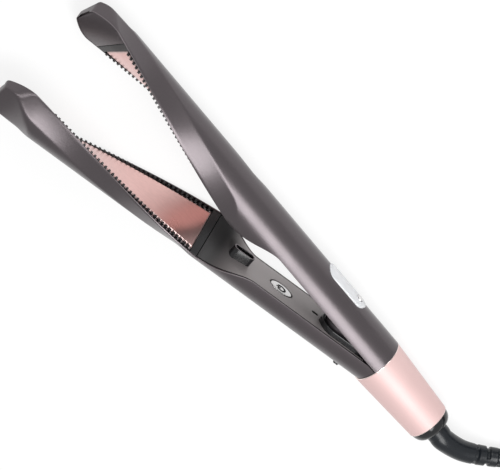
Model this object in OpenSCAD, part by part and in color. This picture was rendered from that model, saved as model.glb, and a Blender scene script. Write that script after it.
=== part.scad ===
// Hair straightener and curler with twisted plates, lying on its side, opened as far as its hinge allows.
//
// Model frame: X runs along the handle towards the tips, and X = 0 is the front of the rear sleeve.
// Y points from the fixed arm to the moving arm, and Z lies along the hinge pin.
// Each arm is drawn closed, on the +Y side of the split surface. A section is a list of [u, w] points:
// u runs across the arm's inner face and w away from it, and both turn with the twist.
// placed() moves everything to the middle of the footprint, at the height of the table.

/* [Arms] */
// Outer radius of the two closed arms
arm_r = 15; // [14.5:0.1:16]
// Length of an arm, from the sleeve to its tip
arm_len = 259; // [254:1:272]
// Wall of the arm shells
shell_wall = 1.6; // [1.3:0.1:1.8]
// Wall of the shells at the edge of the inner face
rim_wall = 0.8; // [0.6:0.1:1]
// Distance from each inner face to the split surface
face_gap = 0.2; // [0.15:0.05:0.3]
// Angle between the open arms
open_angle = 14; // [11:1:16]

/* [Twist] */
// Where the flat handle ends and the twist begins
twist_start = 84; // [80:1:90]
// Turn of the split surface at the rear of the barrel
twist_base = 45; // [36:1:48]
// Turn of the split surface along the plates
twist_span = 83; // [60:1:90]

/* [Plates and combs] */
// Distance from the sleeve to the plates
plate_start = 122; // [118:1:126]
// Width of the plates
plate_w = 23; // [21:0.5:23]
// Thickness of the plates
plate_t = 2.9; // [2.4:0.1:3.2]
// Bevel along the plates' edges
plate_bevel = 0.7; // [0.4:0.1:1]
// Length of the carrier's bare band before and behind the plates
band_len = 4.8; // [3:0.1:6]
// Distance between comb teeth
tooth_pitch = 2.8; // [2.6:0.1:3.4]
// Length of a tooth along the arm
tooth_len = 1; // [0.8:0.05:1.1]
// Width of a tooth across the arm
tooth_w = 0.9; // [0.7:0.05:1]
// Height of the teeth above the inner face
tooth_rise = 1.1; // [0.8:0.05:1.2]
// Depth from the inner face to the comb strips
channel_depth = 1.6; // [1.4:0.1:1.8]
// Thickness of the comb strips
strip_t = 1.3; // [1:0.1:1.5]
// Thickness of the heaters
heater_t = 1.6; // [1.2:0.1:2]
// Thickness of the cushions under the heaters
cushion_t = 0.8; // [0.5:0.1:1]

/* [Flats of the barrel] */
// Angle from each rim to the middle of the flat beside it
flat_at = 26; // [24:1:30]
// Half of the angle that each flat takes of the round
flat_half = 22; // [16:1:23]
// Length over which the flats run out at the rear of the barrel
flat_run = 14; // [8:1:20]

/* [Tips] */
// Distance from the plates to the end of the arm
tip_len = 28; // [26:1:34]
// Width of the flat end
tip_flat = 12.5; // [11:0.5:15]
// Length of the slanted flat on the back of the tip
chisel_len = 28; // [22:1:32]
// Depth that the slanted flat takes off at the end
chisel_depth = 8.5; // [6:0.5:9]
// Length of the cut-off corners
corner_len = 16; // [12:1:20]
// Thickness of the tip covers
tip_cover_t = 1.4; // [1.2:0.1:1.6]

/* [Hinge] */
// Distance from the sleeve to the hinge pin
hinge_x = 5; // [5:0.1:6]
// Radius of the hinge pin
pin_r = 1.5; // [1.2:0.1:2]
// Half length of the hinge pin
pin_half = 11; // [10.5:0.1:11.5]
// Radial clearance of the knuckle on the pin
pin_clear = 0.05; // [0.02:0.01:0.08]
// Wall of the knuckle and the ears round the pin
knuckle_wall = 2.3; // [2:0.1:2.5]
// Height of the liner's lip above the inner face
lip_rise = 3.3; // [2.5:0.1:3.5]
// Width of the liner
liner_w = 18; // [16:0.5:18]
// Length of the liner's ring
liner_len = 32.5; // [30:0.5:34]
// Wall of the liner's ring
liner_wall = 2; // [1.6:0.1:2.2]
// Wire radius of the opening spring
wire_r = 0.5; // [0.4:0.05:0.6]

/* [Controls] */
// Length of the power button
power_len = 15; // [13:0.5:17]
// Width of the power button
power_w = 10.5; // [9:0.5:11]
// Distance from the sleeve to the power button
power_x = 67; // [64:1:70]
// Length of the indicator light
light_len = 4.4; // [4:0.1:5]
// Width of the indicator light
light_w = 2; // [1.6:0.1:2.4]
// Distance from the sleeve to the alignment boss
boss_x = 96; // [95:1:98]
// Length of the alignment boss
boss_len = 13.7; // [12:0.1:14]
// Width of the alignment boss
boss_w = 5.8; // [5.4:0.1:6.4]
// Height of the alignment boss above the inner face
boss_h = 5; // [4:0.1:5.4]
// Wall of the alignment boss
boss_wall = 0.9; // [0.8:0.1:1]
// Rear end of the display window
window_x = 30; // [29:0.5:32]
// Length of the display window
window_len = 31.5; // [28:0.5:34]
// Width of the display window
window_w = 12; // [10:0.5:13]
// Height of the window above the shell
window_rise = 0.9; // [0.5:0.1:1.5]
// Radius of the temperature button
temp_r = 2; // [1.6:0.1:2.2]
// Length of the lock slider's plate
lock_len = 13; // [12:0.5:14]
// Width of the lock slider's plate
lock_w = 8; // [7:0.5:9]
// Travel of the lock slider
lock_travel = 5; // [4:0.5:6]

/* [Sleeve and cap] */
// Length of the rear sleeve
sleeve_len = 46.5; // [44:0.5:52]
// Radius of the sleeve at its rear end
sleeve_rear_r = 12.2; // [11.8:0.1:13]
// Wall of the sleeve
sleeve_wall = 1.6; // [1.4:0.1:1.8]
// Length of the end cap behind the sleeve
cap_len = 6; // [5:0.5:8]
// Radius of the cord's swivel hub
hub_r = 6.8; // [6.6:0.05:7]

/* [Cord] */
// Diameter of the cord
cord_d = 6.5; // [6:0.1:6.5]
// Radius of the strain relief at the cap
boot_r = 6.5; // [6.2:0.1:6.6]
// Radius of the strain relief at the cord
boot_end_r = 4.6; // [4.2:0.1:5]
// Radius of the coil's outer turn
coil_r = 47; // [46:0.5:49]
// Distance between neighbouring turns and layers of the coil
coil_pitch = 7.1; // [7.1:0.1:7.4]
// Thickness of the strap that ties the coil
tie_t = 0.8; // [0.6:0.1:1]
// Width of the strap that ties the coil
tie_w = 8; // [6:0.5:10]
// Radius of the plug's pins
plug_pin_r = 2; // [2:0.1:2.4]
// Length of the plug's pins
plug_pin_len = 19; // [18:0.5:19]
// Distance between the plug's pins
plug_pin_gap = 19; // [18.5:0.1:19.5]

/* [Hidden] */

$fn = 48;
eps = 0.01;
far = 400;                                  // Size of the blocks that cut pieces off

// Clearances
seat_gap = 0.1;                             // Between pieces that sit in each other
bed_gap = 0.2;                              // Under the plates, heaters and combs, whose faces are twisted
move_gap = 0.3;                             // Between pieces that move past each other
hub_clear = 0.05;                           // Radial clearance of the swivel hub in the cap

// Colours
shell_colour = [0.35, 0.32, 0.33];
plate_colour = [0.78, 0.52, 0.50];
sleeve_colour = [0.90, 0.78, 0.76];
black_colour = [0.07, 0.07, 0.08];
dark_colour = [0.16, 0.16, 0.17];
metal_colour = [0.75, 0.75, 0.76];
board_colour = [0.10, 0.35, 0.20];

// Places along the arm
barrel_x = plate_start - band_len;
plate_end = arm_len - tip_len;
plate_len = plate_end - plate_start;
tip_x = plate_end + band_len + seat_gap;
twist_rate = twist_span / plate_len;
flat_depth = arm_r * (1 - cos(flat_half));

// Inside of the shells, a half ellipse
inner_u = arm_r - rim_wall;
inner_w = arm_r - shell_wall - face_gap;
cover_t = 1.6;

// Heights of what lies in the barrel, from the split surface
strip_top = face_gap + channel_depth;
bed_w = max(strip_top + strip_t, face_gap + plate_t) + bed_gap;

// ---------------------------------------------------------------- functions

function ease(t) = t * t * (3 - 2 * t);

// Turn of the split surface at x
function twist(x) =
    x <= twist_start ? 0 :
    x < barrel_x ? -twist_base * ease((x - twist_start) / (barrel_x - twist_start)) :
    -twist_base + twist_rate * (x - barrel_x);

function on_arm(x, p) =
    let (t = twist(x))
    [x, p[1] * cos(t) - p[0] * sin(t), p[1] * sin(t) + p[0] * cos(t)];

// Evenly spaced values from a to b, at most `step` apart
function steps(a, b, step) = let (n = ceil((b - a) / step)) [for (i = [0:n]) a + (b - a) * i / n];

function arc_angles(n) = [for (i = [0:n]) 180 * i / n];

// A row of n + 1 points from a to b
function row(a, b, n) = [for (i = [0:n]) a + (b - a) * i / n];

// The section of a slab. Points across it let its faces follow the twist.
function slab(u0, u1, w0, w1, n) = concat(row([u1, w1], [u0, w1], n), row([u0, w0], [u1, w0], n));

function unit(v) = v / norm(v);

function sum_to(list, n) = n < 0 ? 0 : list[n] + sum_to(list, n - 1);

// Rings are closer together where the twist is quicker
function stations(a, b) =
    let (stops = [a, twist_start, barrel_x, b])
    concat(
        a < twist_start ? [a] : [],
        a < barrel_x ? [for (x = steps(max(a, twist_start), min(barrel_x, b), 3.4)) x] : [],
        b > barrel_x ?
            [for (x = steps(max(a, barrel_x), b, 5.6)) if (x > max(a, barrel_x) || a >= barrel_x) x] : []
    );

// ---------------------------------------------------------------- building blocks

// A ring of points: the section at x, turned by the twist
function ring(section, x) = [for (p = section(x)) on_arm(x, p)];

// A solid whose section at each x of the list is section(x)
module arm_sweep(section, xs) {
    skin([for (x = xs) ring(section, x)]);
}

// A closed solid through rings of equally many points. Its ends join the points of a ring in pairs, the first
// with the last and so on inwards, so points in a straight row leave no triangle without area.
module skin(rings) {
    n = len(rings[0]);
    m = len(rings);
    sides = [for (i = [0:m - 2], j = [0:n - 1])
        let (a = i * n + j, b = i * n + (j + 1) % n)
        each [[a, b, b + n], [a, b + n, a + n]]];
    rear = concat(
        [for (j = [0:floor(n / 2) - 2]) each [[j, n - 2 - j, j + 1], [j, n - 1 - j, n - 2 - j]]],
        n % 2 == 1 ? [[(n - 3) / 2, (n + 1) / 2, (n - 1) / 2]] : []
    );
    front = [for (f = rear) [f[0], f[2], f[1]] + (m - 1) * n * [1, 1, 1]];
    polyhedron(points = [for (r = rings) each r], faces = concat(rear, sides, front), convexity = 10);
}

// A tube of the given radii along a list of points
module tube(path, radii, sides) {
    last = len(path) - 1;
    skin([for (i = [0:last])
        let (
            along = unit(path[min(i + 1, last)] - path[max(i - 1, 0)]),
            side = unit(cross([0, 0, 1], along)),
            up = cross(along, side)
        )
        [for (k = [0:sides - 1])
            let (a = -360 * (k + 0.5) / sides)
            path[i] + radii[i] * (side * cos(a) - up * sin(a))]]);
}

// A prism that stands on the inner face of an arm, from w0 to w1
module on_face(w0, w1) {
    translate([0, w1, 0]) rotate([90, 0, 0]) linear_extrude(w1 - w0) children();
}

module slot_shape(length, width) {
    square([length - width, width], center = true);
    for (side = [-1, 1]) translate([side * (length - width) / 2, 0]) circle(d = width);
}

module oval_shape(length, width) {
    polygon([for (a = [0:9:351]) [length / 2 * cos(a), width / 2 * sin(a)]]);
}

module along_x(x0, x1, r) {
    translate([x0, 0, 0]) rotate([0, 90, 0]) cylinder(h = x1 - x0, r = r);
}

module box(low, high) {
    translate(low) cube(high - low);
}

// A bar along the arm's handle, from x0 to x1, whose section is drawn in [u, w]
module bar(x0, x1) {
    translate([x1, 0, 0]) rotate([0, -90, 0]) linear_extrude(x1 - x0) children();
}

// A board across the arm's hollow, from w0 up to w1
module cross_board(x0, x1, w0, w1) {
    half = side_u(w1);
    bar(x0, x1) translate([-half, w0]) square([2 * half, w1 - w0]);
}

module turned_at_hinge(angle) {
    translate([hinge_x, 0, 0]) rotate([0, 0, angle]) translate([-hinge_x, 0, 0]) children();
}

module open_arm() {
    turned_at_hinge(open_angle) children();
}

module fixed_arm() {
    rotate([180, 0, 0]) children();
}

// ---------------------------------------------------------------- sections of an arm

shell_angles = arc_angles(16);
rim_angle = asin(face_gap / arm_r);

// The tip's slanted back and cut corners lie square to the face as it stands in the middle of the tip
tip_turn = twist(arm_len - chisel_len / 2);

crown = 0.04;                               // Slope that all these flats keep across, to be a little rounded

function tip_half(x) = arm_r - max(x - arm_len + corner_len, 0) * (arm_r - tip_flat / 2) / corner_len;
function tip_back(x) = arm_r - max(x - arm_len + chisel_len, 0) * chisel_depth / chisel_len;
function held(v, limit) = v > limit ? limit + crown * (v - limit) : v;

// A helical flat runs beside each rim, from the rear of the barrel to the tip
function flat_limit(x) = arm_r - flat_depth * ease(min(max((x - barrel_x) / flat_run, 0), 1));
function flattened(x, p, inset, side) =
    let (n = [side * cos(flat_at), sin(flat_at)])
    p - (p * n - held(p * n, flat_limit(x) - inset)) * n;

// How far across the flat lets a piece reach at height w, with `inset` from the outside
function flat_u(x, w, inset) = (flat_limit(x) - inset - w * sin(flat_at)) / cos(flat_at);

// A section point drawn in to the flats of the barrel and the tip, set back by `inset`
function shaped(x, p, inset) =
    let (
        q = flattened(x, flattened(x, p, inset, 1), inset, -1),
        turn = tip_turn - twist(x),
        u = sign(q[0]) * held(abs(q[0]), tip_half(x) - inset),
        across = u * cos(turn) + q[1] * sin(turn),
        away = held(q[1] * cos(turn) - u * sin(turn), tip_back(x) - inset)
    )
    [across * cos(turn) - away * sin(turn), away * cos(turn) + across * sin(turn)];

// Half width of the hollow and of the seat of the tip cover
function hollow_half(x) = min(inner_u, tip_half(x) - rim_wall);

// The hollow ends at the tip, where only the seat of the tip cover goes on
function hollow_depth(x) = x < tip_x - 1 ? inner_w : tip_cover_t + bed_gap;

function shell_section(x) = concat(
    [for (a = shell_angles)
        let (b = min(max(a, rim_angle), 180 - rim_angle))
        shaped(x, arm_r * [cos(b), sin(b)], 0)],
    [for (i = [len(shell_angles) - 1:-1:0])
        let (a = shell_angles[i])
        shaped(x, [hollow_half(x) * cos(a), face_gap + min(inner_w * sin(a), hollow_depth(x))], rim_wall)]
);

tip_stations = steps(tip_x, arm_len, 2.6);
shell_stations = concat(stations(0, tip_x - 1.05), [tip_x - 0.95], tip_stations);

// Across the carrier: low under the combs, a pocket under the plate, level with the face in the end bands
function side_u(w) = (inner_u - seat_gap) * sqrt(1 - pow((w - face_gap) / (inner_w - seat_gap), 2));

function carrier_section(x) =
    let (
        in_band = x < plate_start - seat_gap || x > plate_end + seat_gap,
        bed = in_band ? face_gap : bed_w,
        pocket = in_band ? face_gap + eps : pocket_w,
        half_pocket = plate_w / 2 - 3,
        half = function (w) min(side_u(w), flat_u(x, w, rim_wall + seat_gap)),
        keel = [for (w = [bed_w + 2, bed_w + 4, bed_w + 6]) [half(w), w]]
    )
    concat(
        [[half(bed), bed]],
        keel,
        [for (i = [2:-1:0]) [-keel[i][0], keel[i][1]]],
        [[-half(bed), bed], [-half_pocket, bed]],
        row([-half_pocket + eps, pocket], [half_pocket - eps, pocket], 4),
        [[half_pocket, bed]]
    );

function plate_section(x) =
    let (half = plate_w / 2, low = face_gap + plate_bevel, top = bed_w - bed_gap)
    concat(
        [[half, low]],
        row([half, top], [-half, top], 6),
        [[-half, low]],
        row([plate_bevel - half, face_gap], [half - plate_bevel, face_gap], 6)
    );

// Places of the rings along the plates, heaters and combs
plate_rings = steps(plate_start, plate_end, 5.5);
plate_stations = concat(
    [plate_start + seat_gap],
    [for (i = [1:len(plate_rings) - 2]) plate_rings[i]],
    [plate_end - seat_gap]
);

// ---------------------------------------------------------------- pieces that both arms have

module tip_cover() {
    top = face_gap + tip_cover_t;
    lean = cos(shell_angles[1]);            // The hollow's sides lean inwards by this much
    arm_sweep(
        function (x)
            let (
                u = hollow_half(x) - seat_gap,
                v = min(hollow_half(x) * lean - seat_gap, flat_u(x, top, rim_wall + seat_gap))
            )
            concat(row([v, top], [-v, top], 6), row([-u, face_gap], [u, face_gap], 6)),
        tip_stations
    );
}

module inner_cover(from) {
    half = side_u(cover_t + face_gap);
    cross_board(from, twist_start, face_gap, face_gap + cover_t);
    arm_sweep(
        function (x) slab(-half, half, face_gap, face_gap + cover_t, 6),
        stations(twist_start, barrel_x - move_gap)
    );
}

module plate() {
    arm_sweep(function (x) plate_section(x), plate_stations);
}

module plate_carrier() {
    rear_step = plate_start - seat_gap;
    front_step = plate_end + seat_gap;
    arm_sweep(function (x) carrier_section(x), concat(
        [barrel_x, rear_step - eps, rear_step],
        [for (i = [1:len(plate_rings) - 2]) plate_rings[i]],
        [front_step, front_step + eps, tip_x - 1.5]
    ));
}

heater_w = bed_w + heater_t;
cushion_w = heater_w + bed_gap;
pocket_w = cushion_w + cushion_t + bed_gap;

module heater() {
    half = plate_w / 2 - 4;
    arm_sweep(
        function (x) slab(-half, half, bed_w, heater_w, 4),
        [for (i = [1:len(plate_rings) - 2]) plate_rings[i]]
    );
}

module cushions() {
    half = plate_w / 2 - 6;
    length = 5;
    for (x = [plate_start + plate_len / 4, plate_end - plate_len / 4])
        rotate([twist(x), 0, 0])
            box([x - length / 2, cushion_w, -half], [x + length / 2, cushion_w + cushion_t, half]);
}

// A comb strip with its teeth; side is 1 or -1, and shift moves the teeth along the arm
module comb(side, shift) {
    low_u = plate_w / 2 + seat_gap;
    high_u = flat_u(plate_end, strip_top + strip_t, rim_wall + seat_gap) - bed_gap;
    first = plate_start + 0.6 + shift;
    middle = (plate_w / 2 + flat_u(plate_end, strip_top + strip_t / 2, rim_wall)) / 2;
    arm_sweep(function (x) side > 0
            ? slab(low_u, high_u, strip_top, strip_top + strip_t, 1)
            : slab(-high_u, -low_u, strip_top, strip_top + strip_t, 1),
        plate_stations);
    for (x = [first:tooth_pitch:plate_end - tooth_len - 0.4])
        rotate([twist(x + tooth_len / 2), 0, 0])
            box([x, face_gap - tooth_rise, side * middle - tooth_w / 2],
                [x + tooth_len, strip_top + strip_t / 2, side * middle + tooth_w / 2]);
}

// ---------------------------------------------------------------- hinge

ear_r = pin_r + knuckle_wall;
knuckle_half = 8;
ear_in = knuckle_half + move_gap;
block_top = -(lip_rise + 1);                // The bracket lies below the liner's lip
block_t = 2;
block_deep = 20;                            // How far forward the bracket fills the arm's whole depth
liner_u = 3;                                // Middle of the liner, across the face
liner_x0 = hinge_x + 3;
liner_x1 = liner_x0 + liner_len;
liner_root = face_gap + cover_t + 1.4;
web_clear = 0.5;
web_half = liner_w / 2 - liner_wall - web_clear;
web_r0 = norm([liner_x0 + liner_wall - hinge_x, liner_root]) + 0.35;
web_r1 = liner_x1 - liner_wall - hinge_x - web_clear;
web_reach = 3.5;                            // How far past the open arm's face the web still reaches, degrees
web_down = 60;                              // How far below the split surface the web starts, degrees
spring_x = 24;
spring_r = 3.8;

// The moving arm's rear end stands square to the sleeve when the arm is open.
// There its rim lies higher, clear of the fixed arm.
function rear_end_x(w) = hinge_x + ((move_gap - hinge_x) + w * sin(open_angle)) / cos(open_angle);
function rear_rim_w(x) = (face_gap + (hinge_x - x) * sin(open_angle)) / cos(open_angle);

rear_ring = [for (p = shell_section(0))
    let (w = max(p[1], rear_rim_w(rear_end_x(face_gap))))
    [rear_end_x(w), w, p[0]]];

// The web turns about the pin inside the liner's slot, so it is a piece of a ring about the pin
module web() {
    intersection() {
        translate([hinge_x, 0, 0]) rotate([0, 0, -web_down])
            rotate_extrude(angle = web_down + open_angle + web_reach)
                translate([(web_r0 + web_r1) / 2, liner_u]) slot_shape(web_r1 - web_r0, 2 * web_half);
        box([0, block_top - 1, -arm_r], [far, far, arm_r]);
        along_x(0, far, inner_w - 0.4);
    }
}

// The spring stands in this well of the web
well_floor = block_top - 1;

module spring_well() {
    translate([spring_x, well_floor, liner_u])
        rotate([-90, 0, 0]) cylinder(h = far, r = spring_r + wire_r + 0.8);
}

module hinge_bracket() {
    color(dark_colour) {
        difference() {
            union() {
                intersection() {
                    union() {
                        box([0, -arm_r, -arm_r], [block_deep, block_top, arm_r]);
                        box([0, block_top - block_t, -arm_r], [liner_x1 + 2, block_top, arm_r]);
                    }
                    along_x(-1, far, inner_w + face_gap - seat_gap);
                }
                web();
                for (z0 = [-pin_half, ear_in]) {
                    translate([hinge_x, 0, z0]) cylinder(h = pin_half - ear_in, r = ear_r);
                    box([hinge_x - ear_r, block_top - 1, z0], [hinge_x + ear_r, 0, z0 + pin_half - ear_in]);
                }
            }
            translate([hinge_x, 0, -far / 2]) cylinder(h = far, r = pin_r);
            spring_well();
        }
        spigot();
    }
}

// The bracket's tail fills the front of the sleeve
module spigot() {
    spigot_len = 14;
    spigot_top = 1.7;
    difference() {
        rotate([0, -90, 0])
            cylinder(h = spigot_len, r1 = sleeve_in_r(0) - seat_gap, r2 = sleeve_in_r(spigot_len) - seat_gap);
        box([-far, spigot_top, -far], [eps, far, far]);
    }
}

module hinge_pin() {
    color(metal_colour)
        translate([hinge_x, 0, -pin_half]) cylinder(h = 2 * pin_half, r = pin_r);
}

module liner_shape(grow) {
    translate([(liner_x0 + liner_x1) / 2, 0]) slot_shape(liner_len + 2 * grow, liner_w + 2 * grow);
}

// A ring that lines the web's slot, with its lip on the face and its knuckle on the pin
module hinge_liner() {
    color(black_colour) open_arm() difference() {
        union() {
            translate([0, 0, liner_u]) on_face(face_gap - lip_rise, liner_root) liner_shape(0);
            box([hinge_x, -1.5, liner_u - 8], [liner_x0 + 4, liner_root, knuckle_half]);
            translate([hinge_x, 0, -knuckle_half]) cylinder(h = 2 * knuckle_half, r = ear_r);
        }
        translate([0, 0, liner_u]) on_face(-far, far) liner_shape(-liner_wall);
        translate([hinge_x, 0, -far / 2]) cylinder(h = far, r = pin_r + pin_clear);
    }
}

// The spring's top bears on the lock plate, which slopes with the open arm
function lock_plate_y(x) = lock_plate_w / cos(open_angle) + (x - hinge_x) * tan(open_angle);

module opening_spring() {
    turns = 5;
    rings = 12;
    low = well_floor + wire_r;
    high = lock_plate_y(spring_x + spring_r) - wire_r - 0.2;
    color(metal_colour)
        tube([for (i = [0:turns * rings])
                [spring_x + spring_r * cos(360 * i / rings),
                 low + (high - low) * i / (turns * rings),
                 liner_u + spring_r * sin(360 * i / rings)]],
            [for (i = [0:turns * rings]) wire_r], 6);
}

// ---------------------------------------------------------------- fixed arm

module fixed_shell() {
    color(shell_colour) fixed_arm() difference() {
        arm_sweep(function (x) shell_section(x), shell_stations);
        window_space(seat_gap);
    }
}

module fixed_inner_cover() {
    color(dark_colour) fixed_arm() difference() {
        inner_cover(hinge_x + ear_r + 1);
        translate([0, 0, -liner_u]) on_face(-far, far) lip_space(0.6);
        boss_seat(cup_wall + seat_gap);
    }
}

// The space that the liner's lip needs, open towards the hinge
module lip_space(grow) {
    liner_shape(grow);
    translate([0, -liner_w / 2 - grow]) square([liner_x1 - liner_w, liner_w + 2 * grow]);
}

module fixed_tip_cover() { color(shell_colour) fixed_arm() tip_cover(); }
module fixed_plate() { color(plate_colour) fixed_arm() plate(); }
module fixed_plate_carrier() { color(black_colour) fixed_arm() plate_carrier(); }
module fixed_comb_a() { color(black_colour) fixed_arm() comb(1, 0); }
module fixed_comb_b() { color(black_colour) fixed_arm() comb(-1, 0); }
module fixed_heater() { color(metal_colour) fixed_arm() heater(); }
module fixed_cushions() { color(dark_colour) fixed_arm() cushions(); }

// Pocket in the fixed arm that the alignment boss enters, with a tongue that the hollow boss slides over
cup_gap = 0.6;
cup_wall = 0.8;
cup_floor = boss_h + 1.2;
cup_top = face_gap + 1;                     // Its rim lies in the cover, square to the twist at its middle

module boss_seat(grow) {
    translate([boss_x, 0, 0]) on_face(-far, far)
        slot_shape(boss_len + 2 * (cup_gap + grow), boss_w + 2 * (cup_gap + grow));
}

module alignment_pocket() {
    tongue = boss_w - 2 * boss_wall - 1.2;
    color(dark_colour) fixed_arm() {
        difference() {
            intersection() {
                boss_seat(cup_wall);
                rotate([twist(boss_x), 0, 0]) box([0, cup_top, -far], [far, far, far]);
                box([0, -far, -far], [far, cup_floor + cup_wall, far]);
                along_x(0, far, inner_w - seat_gap);
            }
            intersection() {
                boss_seat(0);
                box([0, -far, -far], [far, cup_floor, far]);
            }
        }
        translate([boss_x, 0, 0]) on_face(1, cup_floor + eps)
            slot_shape(boss_len - 2 * boss_wall - 1.2, tongue);
    }
}

// ---------------------------------------------------------------- moving arm

module moving_shell() {
    color(shell_colour) open_arm() difference() {
        skin(concat(
            [rear_ring],
            [for (x = concat([hinge_x], [for (x = shell_stations) if (x > hinge_x) x]))
                ring(function (x) shell_section(x), x)]
        ));
        translate([lock_mid_x, 0, 0]) on_face(arm_r / 2, far)
            slot_shape(lock_len + lock_travel + 2 * move_gap, lock_w + 2 * move_gap);
    }
}

module moving_inner_cover() {
    color(shell_colour) open_arm() difference() {
        inner_cover(hinge_x + ear_r + 0.5);
        translate([0, 0, liner_u]) on_face(-far, far) lip_space(seat_gap);
        translate([power_x, 0, 0])
            on_face(-far, far) oval_shape(power_len + 2 * move_gap, power_w + 2 * move_gap);
        translate([light_x, 0, 0])
            on_face(-far, far) slot_shape(light_len + 2 * seat_gap, light_w + 2 * seat_gap);
        translate([boss_x, 0, 0])
            on_face(-far, far) slot_shape(boss_len + 2 * seat_gap, boss_w + 2 * seat_gap);
    }
}

module moving_tip_cover() { color(shell_colour) open_arm() tip_cover(); }
module moving_plate() { color(plate_colour) open_arm() plate(); }
module moving_plate_carrier() { color(black_colour) open_arm() plate_carrier(); }
module moving_comb_a() { color(black_colour) open_arm() comb(1, tooth_pitch / 2); }
module moving_comb_b() { color(black_colour) open_arm() comb(-1, tooth_pitch / 2); }
module moving_heater() { color(metal_colour) open_arm() heater(); }
module moving_cushions() { color(dark_colour) open_arm() cushions(); }

module alignment_boss() {
    root = 5.2;
    color(dark_colour) open_arm() translate([boss_x, 0, 0]) difference() {
        on_face(face_gap - boss_h, root) slot_shape(boss_len, boss_w);
        on_face(-far, root - 1) slot_shape(boss_len - 2 * boss_wall, boss_w - 2 * boss_wall);
    }
}

// Indicator light, just in front of the liner
light_x = liner_x1 + 1 + light_len / 2;

module indicator_light() {
    color([0.05, 0.05, 0.05]) open_arm() translate([light_x, 0, 0])
        on_face(face_gap, face_gap + cover_t + 0.6) slot_shape(light_len, light_w);
}

// Power button: the cap shows in the inner cover, and its flange lies behind the cover
power_travel = 0.6;
flange_w = face_gap + cover_t + seat_gap;
board_w = flange_w + 1 + power_travel + 2.4;
board_t = 1.2;

module power_button() {
    color(metal_colour) open_arm() translate([power_x, 0, 0]) {
        on_face(face_gap + 0.05, flange_w) oval_shape(power_len, power_w);
        on_face(flange_w, flange_w + 1) oval_shape(power_len + 3, power_w + 3);
    }
}

// A board across the hollow, with the switch under the button and a wire socket on its back
module switch_board() {
    reach = power_len + 1;
    switch_half = power_len / 5;
    socket = [power_len * 0.4, 2.4, power_w * 0.76];
    socket_x = power_x - reach + 2;
    back = board_w + board_t;
    color(board_colour) open_arm() {
        cross_board(power_x - reach, power_x + reach, board_w, back);
        box([power_x - switch_half, flange_w + 1 + power_travel + 0.05, -switch_half],
            [power_x + switch_half, board_w, switch_half]);
        box([socket_x, back, -socket[2] / 2], [socket_x + socket[0], back + socket[1], socket[2] / 2]);
    }
}

// Lock slider in a slot of the moving shell's back, at the rear end of its travel
lock_mid_x = 16;
lock_front = lock_mid_x - lock_travel / 2 + lock_len / 2;
lock_top = arm_r - shell_wall - 0.6;        // Top of the slider's part that is wider than its slot
lock_plate_t = 1;
lock_plate_w = lock_top - 1.4 - move_gap - lock_plate_t;

module lock_slider() {
    knob_len = 5;
    color(black_colour) open_arm() {
        intersection() {
            translate([lock_front - lock_len / 2, 0, 0])
                on_face(arm_r / 2, arm_r + 5) slot_shape(lock_len, lock_w);
            difference() {
                along_x(0, far, arm_r - 0.3);
                along_x(-1, far, lock_top);
            }
        }
        intersection() {
            box([lock_front - knob_len - 1, arm_r / 2, 1 - lock_w / 2],
                [lock_front - 1, arm_r + 5, lock_w / 2 - 1]);
            difference() {
                along_x(0, far, arm_r + 1.6);
                along_x(-1, far, arm_r - 1);
            }
        }
        box([lock_front - lock_len - 1.5, lock_top - 1.4, -5.6], [lock_front + 1.5, lock_top - 0.9, 5.6]);
        box([lock_front - lock_len + 2, lock_top - 1, -2.5], [lock_front - 2, lock_top + 0.4, 2.5]);
    }
}

// Guide that the slider runs on, across the moving shell's hollow
module lock_plate() {
    color(dark_colour) open_arm()
        cross_board(lock_mid_x - lock_len + 1, lock_mid_x + lock_len + 1, lock_plate_w,
            lock_plate_w + lock_plate_t);
}

// ---------------------------------------------------------------- display and controls of the fixed arm

window_mid = window_x + window_len / 2;

module window_space(grow) {
    translate([window_mid, 0, 0]) on_face(arm_r / 2, far)
        slot_shape(window_len + 2 * grow, window_w + 2 * grow);
}

module display_window() {
    color([0.9, 0.92, 0.95]) fixed_arm() difference() {
        intersection() {
            window_space(0);
            along_x(0, far, arm_r + window_rise);
        }
        along_x(-1, far, arm_r - shell_wall);
        temp_hole(move_gap);
    }
}

temp_x = window_x + 5.5;
temp_travel = 0.6;

module temp_hole(grow) {
    translate([temp_x, 0, 0]) on_face(0, far) circle(r = temp_r + grow);
}

module temperature_button() {
    top = arm_r + window_rise + 0.5;
    stem_low = arm_r - shell_wall - 1.6;
    color(metal_colour) fixed_arm() translate([temp_x, 0, 0]) {
        on_face(stem_low, top) circle(r = temp_r);
        on_face(stem_low, stem_low + 0.8) circle(r = temp_r + 1);
    }
}

display_w = arm_r - shell_wall - 2.8;       // Top of the display module

module display_module() {
    color([0.05, 0.05, 0.06]) fixed_arm()
        box([temp_x + 5, display_w - 2, -5.5], [window_x + window_len - 2, display_w + 1.2, 5.5]);
}

module control_board() {
    top = display_w - 2;
    low = top - board_t;
    stem_low = arm_r - shell_wall - 1.6;
    color(board_colour) fixed_arm() {
        cross_board(window_x - 2, window_x + window_len + 14, low, top);
        box([temp_x - 3, top, -3], [temp_x + 3, stem_low - temp_travel - 0.05, 3]);
        box([window_x + window_len + 2, low - 3, -5], [window_x + window_len + 10, low, 5]);
    }
}

// ---------------------------------------------------------------- sleeve and cap

sleeve_front_r = arm_r - 0.1;
hub_flange_t = 1.7;
cap_wall = 1.7;
hub_seat = sleeve_len - 2.2;                // Where the cap holds the hub's flange

function sleeve_out_r(d) = sleeve_front_r + (sleeve_rear_r - sleeve_front_r) * d / sleeve_len;
function sleeve_in_r(d) = sleeve_out_r(d) - sleeve_wall;

// A body of revolution whose profile is a list of [radius, distance behind the sleeve's front]
module behind(profile) {
    rotate([0, -90, 0]) rotate_extrude($fn = 72) polygon(profile);
}

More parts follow.
